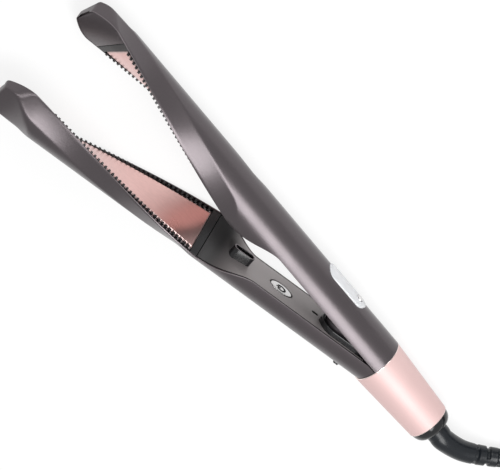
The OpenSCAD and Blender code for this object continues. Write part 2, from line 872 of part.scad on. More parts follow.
module handle_sleeve() {
    rim = 0.4;
    color(sleeve_colour) behind([
        [sleeve_in_r(0), 0], [sleeve_front_r - rim, 0], [sleeve_front_r, rim],
        [sleeve_rear_r, sleeve_len - rim], [sleeve_rear_r - rim, sleeve_len],
        [sleeve_in_r(sleeve_len), sleeve_len]
    ]);
}

module end_cap() {
    insert_len = 6;
    insert_r = sleeve_in_r(sleeve_len) - seat_gap;
    dome_r = sleeve_rear_r - 0.4;
    hole_r = hub_r + hub_clear;
    mouth_r = hub_r + 1.6;
    color(black_colour) behind(concat(
        [[hub_r + cap_wall, sleeve_len - insert_len], [insert_r, sleeve_len - insert_len]],
        [[insert_r, sleeve_len]],
        [for (a = [0:10:90])
            [mouth_r + (dome_r - mouth_r) * cos(a), sleeve_len + (cap_len - 0.2) * sin(a)]],
        [[hole_r, sleeve_len + cap_len - 0.2], [hole_r, hub_seat], [hub_r + cap_wall, hub_seat]]
    ));
}

// ---------------------------------------------------------------- cord

table_z = -arm_r;
cord_r = cord_d / 2;
boot_x = -(sleeve_len + cap_len);

// Middle of the strain relief and of the lead behind it, measured from the cap's end
boot_route = [[0, 0, 0], [-4, 0, 0], [-9, 0, 0], [-22, -3, -4], [-36, -12, -8.5], [-48, -24, -10],
    [-54, -31, -10.2], [-58, -35.7, -10.4]];
lead_route = [[-58, -35.7, -10.4], [-61.2, -39.5, -10.6]];

// The coil lies on its strap. It winds inwards on the table, climbs, and winds outwards on the layer above.
coil_centre = [-42.1, -88.9];
coil_from = 132;
coil_to = 270;
coil_loops = 7 + (coil_to - coil_from) / 360;
layer_turns = (coil_loops - 0.5) / 2;
coil_low = table_z + tie_t + cord_r;
loop_rings = 24;

function coil_radius(t) =
    let (inner = coil_r - coil_pitch * layer_turns, s = t - layer_turns)
    t < layer_turns ? coil_r - coil_pitch * t :
    s < 0.5 ? inner - coil_pitch * s + 2 * coil_pitch * s * s :
    inner + coil_pitch * (s - 0.5);

function coil_height(t) =
    coil_low + coil_pitch * ease(min(max((t - layer_turns) * 2, 0), 1));

function coil_point(t) =
    let (a = coil_from + 360 * t)
    [
        boot_x + coil_centre[0] + coil_radius(t) * cos(a),
        coil_centre[1] + coil_radius(t) * sin(a),
        coil_height(t)
    ];

coil_steps = round(coil_loops * loop_rings);
coil_turns = [for (i = [0:coil_steps]) coil_point(coil_loops * i / coil_steps)];
coil_in = unit(coil_turns[1] - coil_turns[0]);
coil_out = unit(coil_turns[coil_steps] - coil_turns[coil_steps - 1]);
coil_start = coil_turns[0] - coil_in * cord_d;
coil_end = coil_turns[coil_steps] + coil_out * cord_d;
coil_path = concat([coil_start], coil_turns, [coil_end]);

// Least gap between two turns of the coil, from points at least a third of a turn apart
coil_gap = min([for (i = [0:coil_steps], j = [i + 8:1:coil_steps])
    norm(coil_turns[i] - coil_turns[j])]) - cord_d;
echo(coil_gap = coil_gap);

// A smooth curve through points
function between(p, i, t) =
    let (
        a = p[max(i - 1, 0)],
        b = p[i],
        c = p[i + 1],
        d = p[min(i + 2, len(p) - 1)]
    )
    0.5 * (2 * b + (c - a) * t + (2 * a - 5 * b + 4 * c - d) * t * t + (3 * b - a - 3 * c + d) * t * t * t);

function smooth(p, n) = concat(
    [for (i = [0:len(p) - 2], k = [0:n - 1]) between(p, i, k / n)],
    [p[len(p) - 1]]
);

// Lengths along a list of points
function lengths(p) =
    let (d = [for (i = [0:len(p) - 2]) norm(p[i + 1] - p[i])])
    [for (i = [-1:len(d) - 1]) sum_to(d, i)];

function point_at(p, run, s) = [for (k = [0:2]) lookup(s, [for (i = [0:len(p) - 1]) [run[i], p[i][k]]])];

function from_cap(p) = [for (q = p) [boot_x + q[0], q[1], q[2]]];

module swivel_hub() {
    bore = cord_r + 0.1;
    color(black_colour) behind([
        [bore, hub_seat - hub_flange_t - 0.2], [hub_r + cap_wall - 0.3, hub_seat - hub_flange_t - 0.2],
        [hub_r + cap_wall - 0.3, hub_seat - 0.2], [hub_r, hub_seat - 0.2],
        [hub_r, sleeve_len + cap_len], [bore, sleeve_len + cap_len]
    ]);
}

module cord_boot() {
    groove_from = 30;
    groove_pitch = 7;
    groove_half = 1.1;
    groove_depth = 1.2;
    slope = 0.1;
    path = smooth(from_cap(boot_route), 6);
    run = lengths(path);
    total = run[len(run) - 1];
    grooves = [for (s = [groove_from:groove_pitch:total - 3]) s];
    marks = concat(
        [[0, 0], [2, 0]],
        [for (s = [7:7:groove_from - 3]) [s, 0]],
        [for (s = grooves) each [
            [s - groove_half - slope, 0], [s - groove_half, 1],
            [s + groove_half, 1], [s + groove_half + slope, 0]]],
        [[total, 0]]
    );
    color(black_colour) tube(
        [for (m = marks) point_at(path, run, m[0])],
        [for (m = marks) boot_r + (boot_end_r - boot_r) * m[0] / total - groove_depth * m[1]],
        16
    );
}

module cord_run(path) {
    color(black_colour) tube(path, [for (p = path) cord_r], 10);
}

module cord_lead() {
    cord_run(smooth(concat(from_cap(lead_route), [coil_start - coil_in * cord_d, coil_start]), 2));
}

module cord_coil() {
    color(black_colour) tube(coil_path, [for (p = coil_path) cord_r], 6);
}

// Plug, lying flat beside the coil
plug_half_t = 6.85;
plug_z = table_z + plug_half_t;
tail_len = 46;
plug_x = coil_end[0] + tail_len;
plug_y = coil_end[1];
relief_len = 18;
plug_len = 36;
plug_half_w = 14;

module cord_tail() {
    drop = coil_end[2] - plug_z;
    cord_run(concat(
        [coil_end, coil_end + coil_out * cord_d],
        [for (t = [0.3:0.2:0.71])
            [coil_end[0] + tail_len * t, plug_y, coil_end[2] - drop * ease((t - 0.15) / 0.7)]],
        [[plug_x - cord_d, plug_y, plug_z], [plug_x, plug_y, plug_z]]
    ));
}

module coil_tie() {
    play = 0.15;
    r_out = coil_r + cord_r + play;
    r_in = coil_r - coil_pitch * (layer_turns + 0.2) - cord_r - play;
    tie_angle = 20;
    z0 = table_z;
    z1 = coil_low + coil_pitch + cord_r + play;
    color(dark_colour)
        translate([boot_x + coil_centre[0], coil_centre[1], 0]) rotate([0, 0, tie_angle]) difference() {
            box([r_in - tie_t, -tie_w / 2, z0], [r_out + tie_t, tie_w / 2, z1 + tie_t]);
            box([r_in, -tie_w, z0 + tie_t], [r_out, tie_w, z1]);
        }
}

module plug_body() {
    color(black_colour) translate([plug_x, plug_y, plug_z]) {
        rotate([0, 90, 0]) cylinder(h = relief_len + 1, r1 = boot_end_r, r2 = boot_r);
        intersection() {
            translate([relief_len, 0, -plug_half_t]) linear_extrude(2 * plug_half_t)
                polygon([
                    [0, -7], [10, -plug_half_w], [plug_len - 2, -plug_half_w], [plug_len, -plug_half_w + 2],
                    [plug_len, plug_half_w - 2], [plug_len - 2, plug_half_w], [10, plug_half_w], [0, 7]]);
            translate([0, far / 2, 0]) rotate([90, 0, 0]) linear_extrude(far)
                polygon([[relief_len - 1, -plug_half_t + 2], [relief_len + 4, -plug_half_t],
                    [relief_len + plug_len - 1, -plug_half_t], [relief_len + plug_len, -plug_half_t + 1],
                    [relief_len + plug_len, plug_half_t - 1], [relief_len + plug_len - 1, plug_half_t],
                    [relief_len + 4, plug_half_t], [relief_len - 1, plug_half_t - 2]]);
        }
    }
}

module plug_pins() {
    nose = 1;
    color(metal_colour) for (side = [-1, 1])
        translate([plug_x + relief_len + plug_len, plug_y + side * plug_pin_gap / 2, plug_z])
            rotate([0, 90, 0]) {
                cylinder(h = plug_pin_len - nose, r = plug_pin_r);
                translate([0, 0, plug_pin_len - nose])
                    cylinder(h = nose, r1 = plug_pin_r, r2 = plug_pin_r - 0.8);
            }
}

// ---------------------------------------------------------------- placing

// Furthest reach of the open moving arm along Y
arm_reach = max([for (x = shell_stations, p = ring(function (x) shell_section(x), x))
    (p[0] - hinge_x) * sin(open_angle) + p[1] * cos(open_angle)]);

model_mid = [
    (arm_len - sleeve_len - cap_len) / 2,
    (arm_reach - arm_r - window_rise - 0.5) / 2,
    table_z
];
echo(model_mid = model_mid, coil_start = coil_start, coil_end = coil_end, plug_x = plug_x, plug_y = plug_y);

module placed() {
    translate(-model_mid) children();
}

placed() fixed_shell();
placed() fixed_inner_cover();
placed() fixed_tip_cover();
placed() fixed_plate();
placed() fixed_plate_carrier();
placed() fixed_comb_a();
placed() fixed_comb_b();
placed() fixed_heater();
placed() fixed_cushions();
placed() alignment_pocket();
placed() moving_shell();
placed() moving_inner_cover();
placed() moving_tip_cover();
placed() moving_plate();
placed() moving_plate_carrier();
placed() moving_comb_a();
placed() moving_comb_b();
placed() moving_heater();
placed() moving_cushions();
placed() alignment_boss();
placed() hinge_bracket();
placed() hinge_liner();
placed() hinge_pin();
placed() opening_spring();
placed() power_button();
placed() indicator_light();
placed() switch_board();
placed() display_window();
placed() display_module();
placed() control_board();
placed() temperature_button();
placed() lock_slider();
placed() lock_plate();
placed() handle_sleeve();
placed() end_cap();
placed() swivel_hub();
placed() cord_boot();
placed() cord_lead();
placed() cord_coil();
placed() cord_tail();
placed() coil_tie();
placed() plug_body();
placed() plug_pins();
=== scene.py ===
from math import asin, ceil, copysign, cos, pi, radians, sin, sqrt

import bmesh
import bpy
from bpy.props import FloatProperty, FloatVectorProperty, IntProperty, PointerProperty
from mathutils import Matrix, Vector


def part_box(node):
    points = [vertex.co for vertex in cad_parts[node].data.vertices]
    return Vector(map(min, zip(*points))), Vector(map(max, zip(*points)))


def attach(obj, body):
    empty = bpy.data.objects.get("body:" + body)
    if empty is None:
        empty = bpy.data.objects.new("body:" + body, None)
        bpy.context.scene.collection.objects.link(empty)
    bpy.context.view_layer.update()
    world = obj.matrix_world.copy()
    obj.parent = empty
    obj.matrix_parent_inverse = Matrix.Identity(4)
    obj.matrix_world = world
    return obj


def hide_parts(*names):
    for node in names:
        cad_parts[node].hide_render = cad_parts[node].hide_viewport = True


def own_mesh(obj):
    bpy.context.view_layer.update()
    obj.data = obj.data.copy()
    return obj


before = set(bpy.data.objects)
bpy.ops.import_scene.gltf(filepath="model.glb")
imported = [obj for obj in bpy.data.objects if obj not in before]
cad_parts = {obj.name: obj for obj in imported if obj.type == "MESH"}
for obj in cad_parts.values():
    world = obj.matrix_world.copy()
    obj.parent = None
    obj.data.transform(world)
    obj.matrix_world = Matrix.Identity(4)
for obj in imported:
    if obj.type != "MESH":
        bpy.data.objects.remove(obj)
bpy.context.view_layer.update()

bl_info = {
    "name": "Twisted Plate Straightener",
    "version": (1, 0, 0),
    "blender": (4, 5, 0),
    "location": "View3D > Sidebar > Straightener",
    "description": "Builds a hair straightener with helical plates, its cord and a plain studio",
    "category": "Add Mesh",
}

MM = 0.001
HINGE = sum(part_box("hinge_pin"), Vector()) / 2

# Middle along the tool, from the sleeve's front, and length and width of each thing that sits in an opening
WINDOW_X, WINDOW = 45.75 * MM, (31.5 * MM, 12 * MM)
LOCK_X, LOCK_SLOT = 16 * MM, (18.6 * MM, 8.6 * MM)
LINER_X, LINER_U, LINER = 24.25 * MM, 3 * MM, (32.5 * MM, 18 * MM)
KEY_X, KEY = 67 * MM, (15 * MM, 10.5 * MM)
LIGHT_X, LIGHT = 43.7 * MM, (4.4 * MM, 2 * MM)
BOSS_X, BOSS, POCKET = 96 * MM, (13.7 * MM, 5.8 * MM), (16.7 * MM, 8.8 * MM)
TEMPERATURE_X, TEMPERATURE_HOLE = 35.5 * MM, (4.6 * MM, 4.6 * MM)
EDGE = 0.25 * MM                    # Small bevel along moulded edges
SEAT = 0.1 * MM                     # Play round a piece in its seat


# ---------------------------------------------------------------- sizes and colours

def millimetres(name, description, value):
    return FloatProperty(name=name, description=description, default=value * MM, unit="LENGTH")


def degrees(name, description, value):
    return FloatProperty(name=name, description=description, default=radians(value), subtype="ANGLE")


def swatch(name, description, value):
    return FloatVectorProperty(name=name, description=description, default=value, size=3, subtype="COLOR")


class ArmSizes(bpy.types.PropertyGroup):
    radius: millimetres("Radius", "Outer radius of the two closed arms", 15)
    length: millimetres("Length", "From the sleeve to the tips", 259)
    wall: millimetres("Wall", "Thickness of the shells", 1.6)
    rim: millimetres("Rim", "Thickness of the shells at the inner face", 0.8)
    gap: millimetres("Face gap", "From each inner face to the split surface", 0.2)
    opening: degrees("Opening", "Angle between the open arms", 14)
    hinge_x: millimetres("Hinge", "From the sleeve to the hinge pin", 5)
    twist_start: millimetres("Twist start", "Where the flat handle ends", 84)
    twist_base: degrees("First turn", "Turn at the rear of the barrel", 45)
    twist_span: degrees("Turn", "Turn along the plates", 83)


class PlateSizes(bpy.types.PropertyGroup):
    start: millimetres("Start", "From the sleeve to the plates", 122)
    length: millimetres("Length", "Length of the plates", 109)
    width: millimetres("Width", "Width of the plates", 23)
    bevel: millimetres("Bevel", "Bevel along the edges", 0.7)
    band: millimetres("Band", "Bare band before and behind the plates", 4.8)
    bed: millimetres("Bed", "Depth of the carrier's bed", 3.3)
    pitch: millimetres("Tooth pitch", "Distance between comb teeth", 2.8)
    rise: millimetres("Tooth height", "Height of a tooth above the face", 1.1)


class TipSizes(bpy.types.PropertyGroup):
    flat: millimetres("Flat end", "Width of the flat end", 12.5)
    slant: millimetres("Slant", "Length of the slanted back", 28)
    depth: millimetres("Depth", "What the slant takes off", 8.5)
    corner: millimetres("Corner", "Length of the cut corners", 16)


class HandleSizes(bpy.types.PropertyGroup):
    sleeve: millimetres("Sleeve", "Length of the rear sleeve", 46.5)
    rear_radius: millimetres("Rear radius", "Sleeve's radius at its rear end", 12.2)
    cap: millimetres("Cap", "Length of the end cap", 6)
    boot: millimetres("Strain relief", "Radius at the cap", 6.5)
    boot_end: millimetres("Strain relief end", "Radius at the cord", 4.6)
    cord: millimetres("Cord", "Diameter of the cord", 6.5)
    ribs: IntProperty(name="Slots", description="Rows of slots in the strain relief", default=5)


class Finishes(bpy.types.PropertyGroup):
    shell: swatch("Shells", "Metallic paint of the shells", (0.098, 0.084, 0.090))
    cover: swatch("Inner covers", "Satin paint of the inner covers", (0.42, 0.385, 0.385))
    plate: swatch("Plates", "Polished coating of the plates", (0.77, 0.50, 0.47))
    sleeve: swatch("Sleeve", "Satin paint of the sleeve", (0.67, 0.475, 0.46))
    black: swatch("Black plastic", "Glossy black plastic", (0.010, 0.010, 0.011))
    rubber: swatch("Cord", "Cord and strain relief", (0.008, 0.010, 0.013))


def sizes(*groups):
    """The settings of one group, or of several."""
    found = [getattr(bpy.context.scene, "straightener_" + group) for group in groups]
    return found[0] if len(found) == 1 else found


# ---------------------------------------------------------------- places on the tool

def ease(t):
    """A smooth step from 0 to 1."""
    t = min(max(t, 0.0), 1.0)
    return t * t * (3 - 2 * t)


def twist(x):
    """Turn of the split surface at x."""
    arm, plate = sizes("arm", "plate")
    barrel = plate.start - plate.band
    if x < barrel:
        return -arm.twist_base * ease((x - arm.twist_start) / (barrel - arm.twist_start))
    return -arm.twist_base + arm.twist_span * (x - barrel) / plate.length


def on_arm(x, u, w):
    """u runs across the inner face and w away from it; both turn with the twist."""
    t = twist(x)
    return Vector((x, w * cos(t) - u * sin(t), w * sin(t) + u * cos(t)))


def fixed(p):
    """The fixed arm is the arm turned half round about the handle's axis."""
    pin = sizes("arm").hinge_x
    return HINGE + Vector((p[0] - pin, -p[1], -p[2]))


def moving(p):
    """The moving arm stands open."""
    arm = sizes("arm")
    return HINGE + Matrix.Rotation(arm.opening, 3, "Z") @ Vector((p[0] - arm.hinge_x, p[1], p[2]))


def straight(p):
    """A point that isn't on an arm."""
    return HINGE + Vector((p[0] - sizes("arm").hinge_x, p[1], p[2]))


ARMS = (("fixed", fixed, "fixed_arm"), ("moving", moving, "moving_arm"))


def spaced(a, b, n):
    return [a + (b - a) * i / n for i in range(n + 1)]


def steps(a, b, step):
    """Equal steps from a to b, none longer than `step`."""
    return spaced(a, b, ceil((b - a) / step - 1e-9))


def around(n):
    """The angles of n equal steps round a circle."""
    return [2 * pi * i / n for i in range(n)]


def grown(size, by):
    return [side + by for side in size]


def along_arm(place, sections):
    """Rings on an arm, from pairs of a place along it and a section there."""
    return [[place(on_arm(x, u, w)) for u, w in section] for x, section in sections]


def drawn(outline, x, u, w, place=moving):
    """An outline round x and u on the inner face of an arm, at height w."""
    return [place((x + p[0], w, u + p[1])) for p in outline]


# ---------------------------------------------------------------- making pieces

def link(name, data):
    made = bpy.data.objects.new(name, data)
    bpy.context.scene.collection.objects.link(made)
    return made


def add_piece(name, data, body, nodes):
    """A piece that rides on a body and stands for some nodes of the frame."""
    piece = link(name, data)
    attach(piece, body)
    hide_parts(*nodes)
    return piece


def finish_piece(name, bm, finishes, body, nodes, sharp=32):
    """Turns a bmesh into a piece with its finishes, given by name."""
    bmesh.ops.remove_doubles(bm, verts=bm.verts, dist=1e-6)
    bmesh.ops.recalc_face_normals(bm, faces=bm.faces)
    mesh = bpy.data.meshes.new(name)
    bm.to_mesh(mesh)
    bm.free()
    mesh.shade_smooth()
    mesh.set_sharp_from_angle(angle=radians(sharp))
    for finish in finishes:
        mesh.materials.append(material(finish))
    return add_piece(name, mesh, body, nodes)


def second_finish(faces, count, chosen):
    """Gives the second finish to faces of a loft, chosen by their row and their column of `count`."""
    for i, f in enumerate(faces):
        if chosen(*divmod(i, count)):
            f.material_index = 1


def both_arms(name, sections, finishes, node_name, sharp, chosen=lambda row, column: False):
    """Makes the same piece on each arm from pairs of a place and a section; `chosen` as in second_finish."""
    for arm_name, place, body in ARMS:
        bm = bmesh.new()
        second_finish(loft(bm, along_arm(place, sections)), len(sections[0][1]), chosen)
        finish_piece(f"{arm_name}_{name}", bm, finishes, body, [f"{arm_name}_{node_name}"], sharp)


def loft(bm, rings, index=0, caps=True):
    """A closed skin through rings of equally many points; returns the faces between the rings."""
    verts = [[bm.verts.new(p) for p in ring] for ring in rings]
    faces = []
    for a, b in zip(verts, verts[1:]):
        for j in range(len(a)):
            k = (j + 1) % len(a)
            faces.append(bm.faces.new((a[j], b[j], b[k], a[k])))
    ends = [bm.faces.new(verts[0]), bm.faces.new(list(reversed(verts[-1])))] if caps else []
    for f in faces + ends:
        f.material_index = index
    return faces


def tube(bm, rings):
    """A skin that closes on itself, from the last ring to the first."""
    return loft(bm, rings + [rings[0]], caps=False)


def block(bm, low, high, place, bevel=0.0, index=0):
    """A block between two corners, with rounded edges."""
    made = bmesh.ops.create_cube(bm, size=1)["verts"]
    low, high = Vector(low), Vector(high)
    for v in made:
        v.co = Vector([low[i] + (v.co[i] + 0.5) * (high[i] - low[i]) for i in range(3)])
    if bevel:
        edges = list({e for v in made for e in v.link_edges})
        out = bmesh.ops.bevel(bm, geom=edges, offset=bevel, segments=2, profile=0.6, affect="EDGES")
        made = list({v for f in out["faces"] for v in f.verts} | {v for v in made if v.is_valid})
    for f in {f for v in made for f in v.link_faces}:
        f.material_index = index
    for v in made:
        v.co = place(v.co)


def stadium(length, width, corner=12):
    """Outline of a slot with round ends, counter-clockwise."""
    r = width / 2
    points = []
    for side in (1, -1):
        for i in range(corner + 1):
            a = radians(-90 + 180 * i / corner)
            points.append((side * (length / 2 - r + r * cos(a)), side * r * sin(a)))
    return points


def oval(length, width):
    return [(length / 2 * cos(a), width / 2 * sin(a)) for a in around(48)]


def inset(outline, d):
    """The outline drawn in by d."""
    out = []
    for i, p in enumerate(outline):
        a, b = Vector(outline[i - 1]), Vector(outline[(i + 1) % len(outline)])
        t = (b - a).normalized()
        out.append((p[0] - d * t.y, p[1] + d * t.x))
    return out


def rounded(outline, soft, n=4):
    """Outlines that round an edge, each with its depth below the face; a negative `soft` rounds a hole."""
    return [(inset(outline, soft * (1 - cos(a))), abs(soft) * (1 - sin(a)))
            for a in spaced(0, pi / 2, n)]


def pad(bm, outline, x, w_low, w_high, rounding=0.0, index=0):
    """A prism on the moving arm's inner face, rounded at w_low, the side that shows."""
    levels = [(outline, w_high)] + [(line, w_low + d) for line, d in rounded(outline, rounding)]
    loft(bm, [drawn(line, x, 0, w) for line, w in levels], index)


def collar(outer, inner, x, u, face, soft, n):
    """Rings on the moving arm over a wall's rounded edge, from its outer outline to its inner one."""
    edges = rounded(outer, soft, n) + rounded(inner, -soft, n)[::-1]
    return [drawn(line, x, u, face + d) for line, d in edges]


def lathe(bm, profile, n):
    """A closed body of revolution about the handle's axis; profile is a list of (x, radius)."""
    return tube(bm, [[straight((x, r * cos(a), r * sin(a))) for a in around(n)]
                     for x, r in profile])


def prism(outline, x, u, low, high, place):
    """A body to cut with, through the wall of an arm."""
    bm = bmesh.new()
    loft(bm, [drawn(outline, x, u, w, place) for w in (low, high)])
    return bm


def cut(piece, cutters):
    """Takes other bodies out of a piece."""
    for bm in cutters:
        bmesh.ops.recalc_face_normals(bm, faces=bm.faces)
        mesh = bpy.data.meshes.new("cutter")
        bm.to_mesh(mesh)
        bm.free()
        tool = link("cutter", mesh)
        change = piece.modifiers.new("cut", "BOOLEAN")
        change.object = tool
        change.solver = "EXACT"
        shape = bpy.data.meshes.new_from_object(piece.evaluated_get(bpy.context.evaluated_depsgraph_get()))
        piece.modifiers.remove(change)
        old = piece.data
        piece.data = shape
        shape.name = piece.name
        bpy.data.objects.remove(tool)
        bpy.data.meshes.remove(mesh)
        bpy.data.meshes.remove(old)
    piece.data.set_sharp_from_angle(angle=radians(32))


# ---------------------------------------------------------------- materials

def new_material(name):
    made = bpy.data.materials.new(name)
    made.use_nodes = True
    return made, made.node_tree, made.node_tree.nodes["Principled BSDF"]


def feed(tree, target, values):
    """Sets a shader node's sockets: an output is linked, and anything else is written in."""
    for name, value in values.items():
        if isinstance(value, bpy.types.NodeSocket):
            tree.links.new(value, target.inputs[name])
        else:
            target.inputs[name].default_value = value


def node(tree, kind, values=None, **settings):
    """A new shader node with its settings and its sockets set."""
    made = tree.nodes.new("ShaderNode" + kind)
    for name, value in settings.items():
        setattr(made, name, value)
    feed(tree, made, values or {})
    return made


def surface(name, colour, roughness, metallic=0.0, grain=0.08, scale=2500.0, bump=0.02, speck=0.0,
            coat=0.0, coat_roughness=0.1, stretch=(1, 1, 1), spread=0.05, specular=0.5, fade=None):
    """Moulded, painted or metal surface: fine grain in colour, gloss and relief, and broad unevenness.

    `fade` is a second colour and the two places along the tool between which the paint turns into it.
    """
    made, tree, shader = new_material(name)
    spot = node(tree, "TexCoord").outputs["Object"]
    stretched = node(tree, "Mapping", {"Vector": spot, "Scale": stretch}).outputs["Vector"]
    fine = node(tree, "TexNoise", {"Vector": stretched, "Scale": scale, "Detail": 3}).outputs["Fac"]
    broad = node(tree, "TexNoise", {"Vector": spot, "Scale": 45, "Detail": 2}).outputs["Fac"]
    tint = node(tree, "ValToRGB", {"Fac": fine})
    stops = [(0.35, -grain), (0.65, grain), (0.74, speck)]
    for i, (position, change) in enumerate(stops if speck else stops[:2]):
        elements = tint.color_ramp.elements
        element = elements[i] if i < 2 else elements.new(position)
        element.position = position
        element.color = (*[min(1, c * (1 + change)) for c in colour], 1)
    paint = tint.outputs["Color"]
    if fade:
        second, start, end = fade
        along = node(tree, "SeparateXYZ", {0: spot}).outputs["X"]
        share = node(tree, "MapRange", {"From Min": start, "From Max": end, "Value": along},
                     interpolation_type="SMOOTHSTEP").outputs["Result"]
        paint = node(tree, "Mix", {0: share, 6: paint, 7: (*second, 1)}, data_type="RGBA").outputs[2]
    gloss = node(tree, "MapRange", {"Value": broad, "From Min": 0.3, "From Max": 0.7,
                                    "To Min": max(0.02, roughness - spread), "To Max": roughness + spread})
    relief = node(tree, "Bump", {"Strength": bump, "Distance": 0.1 * MM, "Height": fine})
    feed(tree, shader, {"Metallic": metallic, "Coat Weight": coat, "Coat Roughness": coat_roughness,
                        "Specular IOR Level": specular, "Base Color": paint,
                        "Roughness": gloss.outputs["Result"], "Normal": relief.outputs["Normal"]})
    return made


def clear_plastic(name):
    """The window: clear moulded plastic with faint clouding."""
    made, tree, shader = new_material(name)
    noise = node(tree, "TexNoise", {"Scale": 120})
    gloss = node(tree, "MapRange", {"To Min": 0.14, "To Max": 0.24, "Value": noise.outputs["Fac"]})
    feed(tree, shader, {"Base Color": (0.90, 0.91, 0.93, 1), "Transmission Weight": 0.45, "IOR": 1.49,
                        "Roughness": gloss.outputs["Result"]})
    return made


def woven(name):
    """Hook-and-loop strap: rows of short loops."""
    made, tree, shader = new_material(name)
    wave = node(tree, "TexWave", {"Scale": 500, "Distortion": 2}).outputs["Fac"]
    tint = node(tree, "ValToRGB", {"Fac": wave})
    tint.color_ramp.elements[0].color = (0.010, 0.010, 0.011, 1)
    tint.color_ramp.elements[1].color = (0.035, 0.035, 0.037, 1)
    relief = node(tree, "Bump", {"Strength": 0.4, "Distance": 0.2 * MM, "Height": wave})
    feed(tree, shader, {"Roughness": 0.85, "Sheen Weight": 0.3, "Base Color": tint.outputs["Color"],
                        "Normal": relief.outputs["Normal"]})
    return made


MATERIALS = {}
SCOOP = (0.035, 0.034, 0.035)       # Dark paint where the handle turns into the barrel


def finishes():
    """Colour, roughness and what else sets each surface apart."""
    look = sizes("finish")
    fade_from, fade_to = (moving((x, 0, 0))[0] for x in (86 * MM, 110 * MM))
    return {
        "shell_paint": (look.shell, 0.33, dict(metallic=0.8, grain=0.10, scale=5200, bump=0.05, speck=0.45,
                                               spread=0.03, coat=0.25, coat_roughness=0.25)),
        # Painted highlight: lighter paint on the shells' rim bevels and the boss's lip, standing for the
        # bright line that light draws along these edges
        "rim_line": ((0.21, 0.185, 0.195), 0.46, dict(metallic=0.8, grain=0.05)),
        "cover_paint": (look.cover, 0.42, dict(metallic=0.45, grain=0.07, scale=5200, bump=0.04, speck=0.25,
                                               spread=0.03, fade=(SCOOP, fade_from, fade_to))),
        "scoop_paint": (SCOOP, 0.34, dict(metallic=0.35, grain=0.10, scale=5000, bump=0.04, speck=0.5)),
        "plate_coat": (look.plate, 0.30, dict(metallic=1.0, grain=0.03, scale=900, bump=0.01,
                                              stretch=(0.15, 1, 1), spread=0.03)),
        "plate_edge": ((0.70, 0.53, 0.51), 0.50, dict(metallic=1.0, grain=0.03)),
        "sleeve_paint": (look.sleeve, 0.55, dict(metallic=0.30, grain=0.03, scale=4200, bump=0.03,
                                                 speck=0.06, spread=0.03, coat=0.12, coat_roughness=0.32)),
        "sleeve_rim": ((0.88, 0.76, 0.73), 0.12, dict(metallic=1.0, grain=0.02)),
        "black_gloss": (look.black, 0.16, dict(grain=0.15, scale=1800, bump=0.01, coat=0.25,
                                               coat_roughness=0.06, specular=0.3)),
        "comb_black": ((0.010, 0.010, 0.011), 0.38, dict(grain=0.2, scale=3500, bump=0.10)),
        # The comb strips' mauve-grey, painted lighter than their own colour to make up for the shade in
        # their deep channels: part real colour, part painted light
        "comb_floor": ((0.36, 0.32, 0.33), 0.42, dict(metallic=0.2, grain=0.06, bump=0.05)),
        "ink_black": ((0.004, 0.004, 0.004), 0.60, dict(grain=0.2, bump=0.02, specular=0.15)),
        "carrier_black": ((0.014, 0.014, 0.015), 0.45, dict(grain=0.25, scale=3800, bump=0.15)),
        "web_paint": ((0.040, 0.034, 0.038), 0.36, dict(metallic=0.4, grain=0.10, scale=5000, bump=0.05,
                                                        speck=0.4)),
        "silver": ((0.72, 0.71, 0.71), 0.22, dict(metallic=1.0, grain=0.03, scale=1500, bump=0.02,
                                                  stretch=(1, 1, 0.1))),
        "steel": ((0.55, 0.55, 0.56), 0.28, dict(metallic=1.0, grain=0.08, scale=1800, bump=0.05,
                                                 stretch=(1, 1, 0.08))),
        "nickel": ((0.66, 0.64, 0.60), 0.18, dict(metallic=1.0, grain=0.04, scale=1500, bump=0.02,
                                                  stretch=(0.1, 1, 1))),
        "heater_metal": ((0.50, 0.50, 0.51), 0.45, dict(metallic=0.9, grain=0.10, scale=900, bump=0.10)),
        "silicone": ((0.40, 0.09, 0.06), 0.55, dict(grain=0.10, scale=1200, bump=0.05)),
        "board_green": ((0.015, 0.10, 0.035), 0.35, dict(grain=0.35, scale=420, bump=0.2)),
        "display_dark": ((0.02, 0.022, 0.026), 0.10, dict(grain=0.2, scale=600, bump=0.01, coat=0.5)),
        "cord_rubber": (look.rubber, 0.30, dict(grain=0.2, scale=2600, bump=0.06, coat=0.10,
                                                coat_roughness=0.2, specular=0.32)),
        "plug_plastic": ((0.016, 0.016, 0.018), 0.40, dict(grain=0.2, scale=2600, bump=0.12)),
    }


def material(name):
    """Each finish is made once."""
    if name not in MATERIALS:
        special = {"clear_window": clear_plastic, "woven_strap": woven}
        if name in special:
            MATERIALS[name] = special[name](name)
        else:
            base, roughness, rest = finishes()[name]
            MATERIALS[name] = surface(name, base, roughness, **rest)
    return MATERIALS[name]


def dress(finish, *names):
    """Gives solids of the frame their finish."""
    for name in names:
        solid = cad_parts[name]
        solid.data.materials.clear()
        solid.data.materials.append(material(finish))


# ---------------------------------------------------------------- sections of an arm

FLUTE_AT = radians(26)              # Middle of the flat beside each rim of a shell
FLUTE_HALF = radians(22)
FLUTE_RUN = 14 * MM                 # Length over which the flats grow
SHELL_FACETS = 56


def tip_start():
    """Where the tips begin, past the band in front of the plates."""
    plate = sizes("plate")
    return plate.start + plate.length + plate.band + SEAT


def seat_u(w):
    """Half the width of what fits inside a shell at height w."""
    arm = sizes("arm")
    across, deep = arm.radius - arm.rim - SEAT, arm.radius - arm.wall - arm.gap - SEAT
    return across * sqrt(1 - ((w - arm.gap) / deep) ** 2)


def held(v, limit, slope=0.04, soft=0.0):
    """Holds a value at a limit, past which it goes on only a little; `soft` rounds the corner there."""
    past = v - limit
    if past >= soft:
        return limit + slope * past
    return v - (1 - slope) * (past + soft) ** 2 / (4 * soft) if past > -soft else v


def tip_soft(x, length):
    """Rounding between the tip's cuts and its barrel, which grows from where a cut of this length begins."""
    full, run, least = 2.2 * MM, 8 * MM, 0.001 * MM
    return max(full * ease((x - sizes("arm").length + length) / run), least)


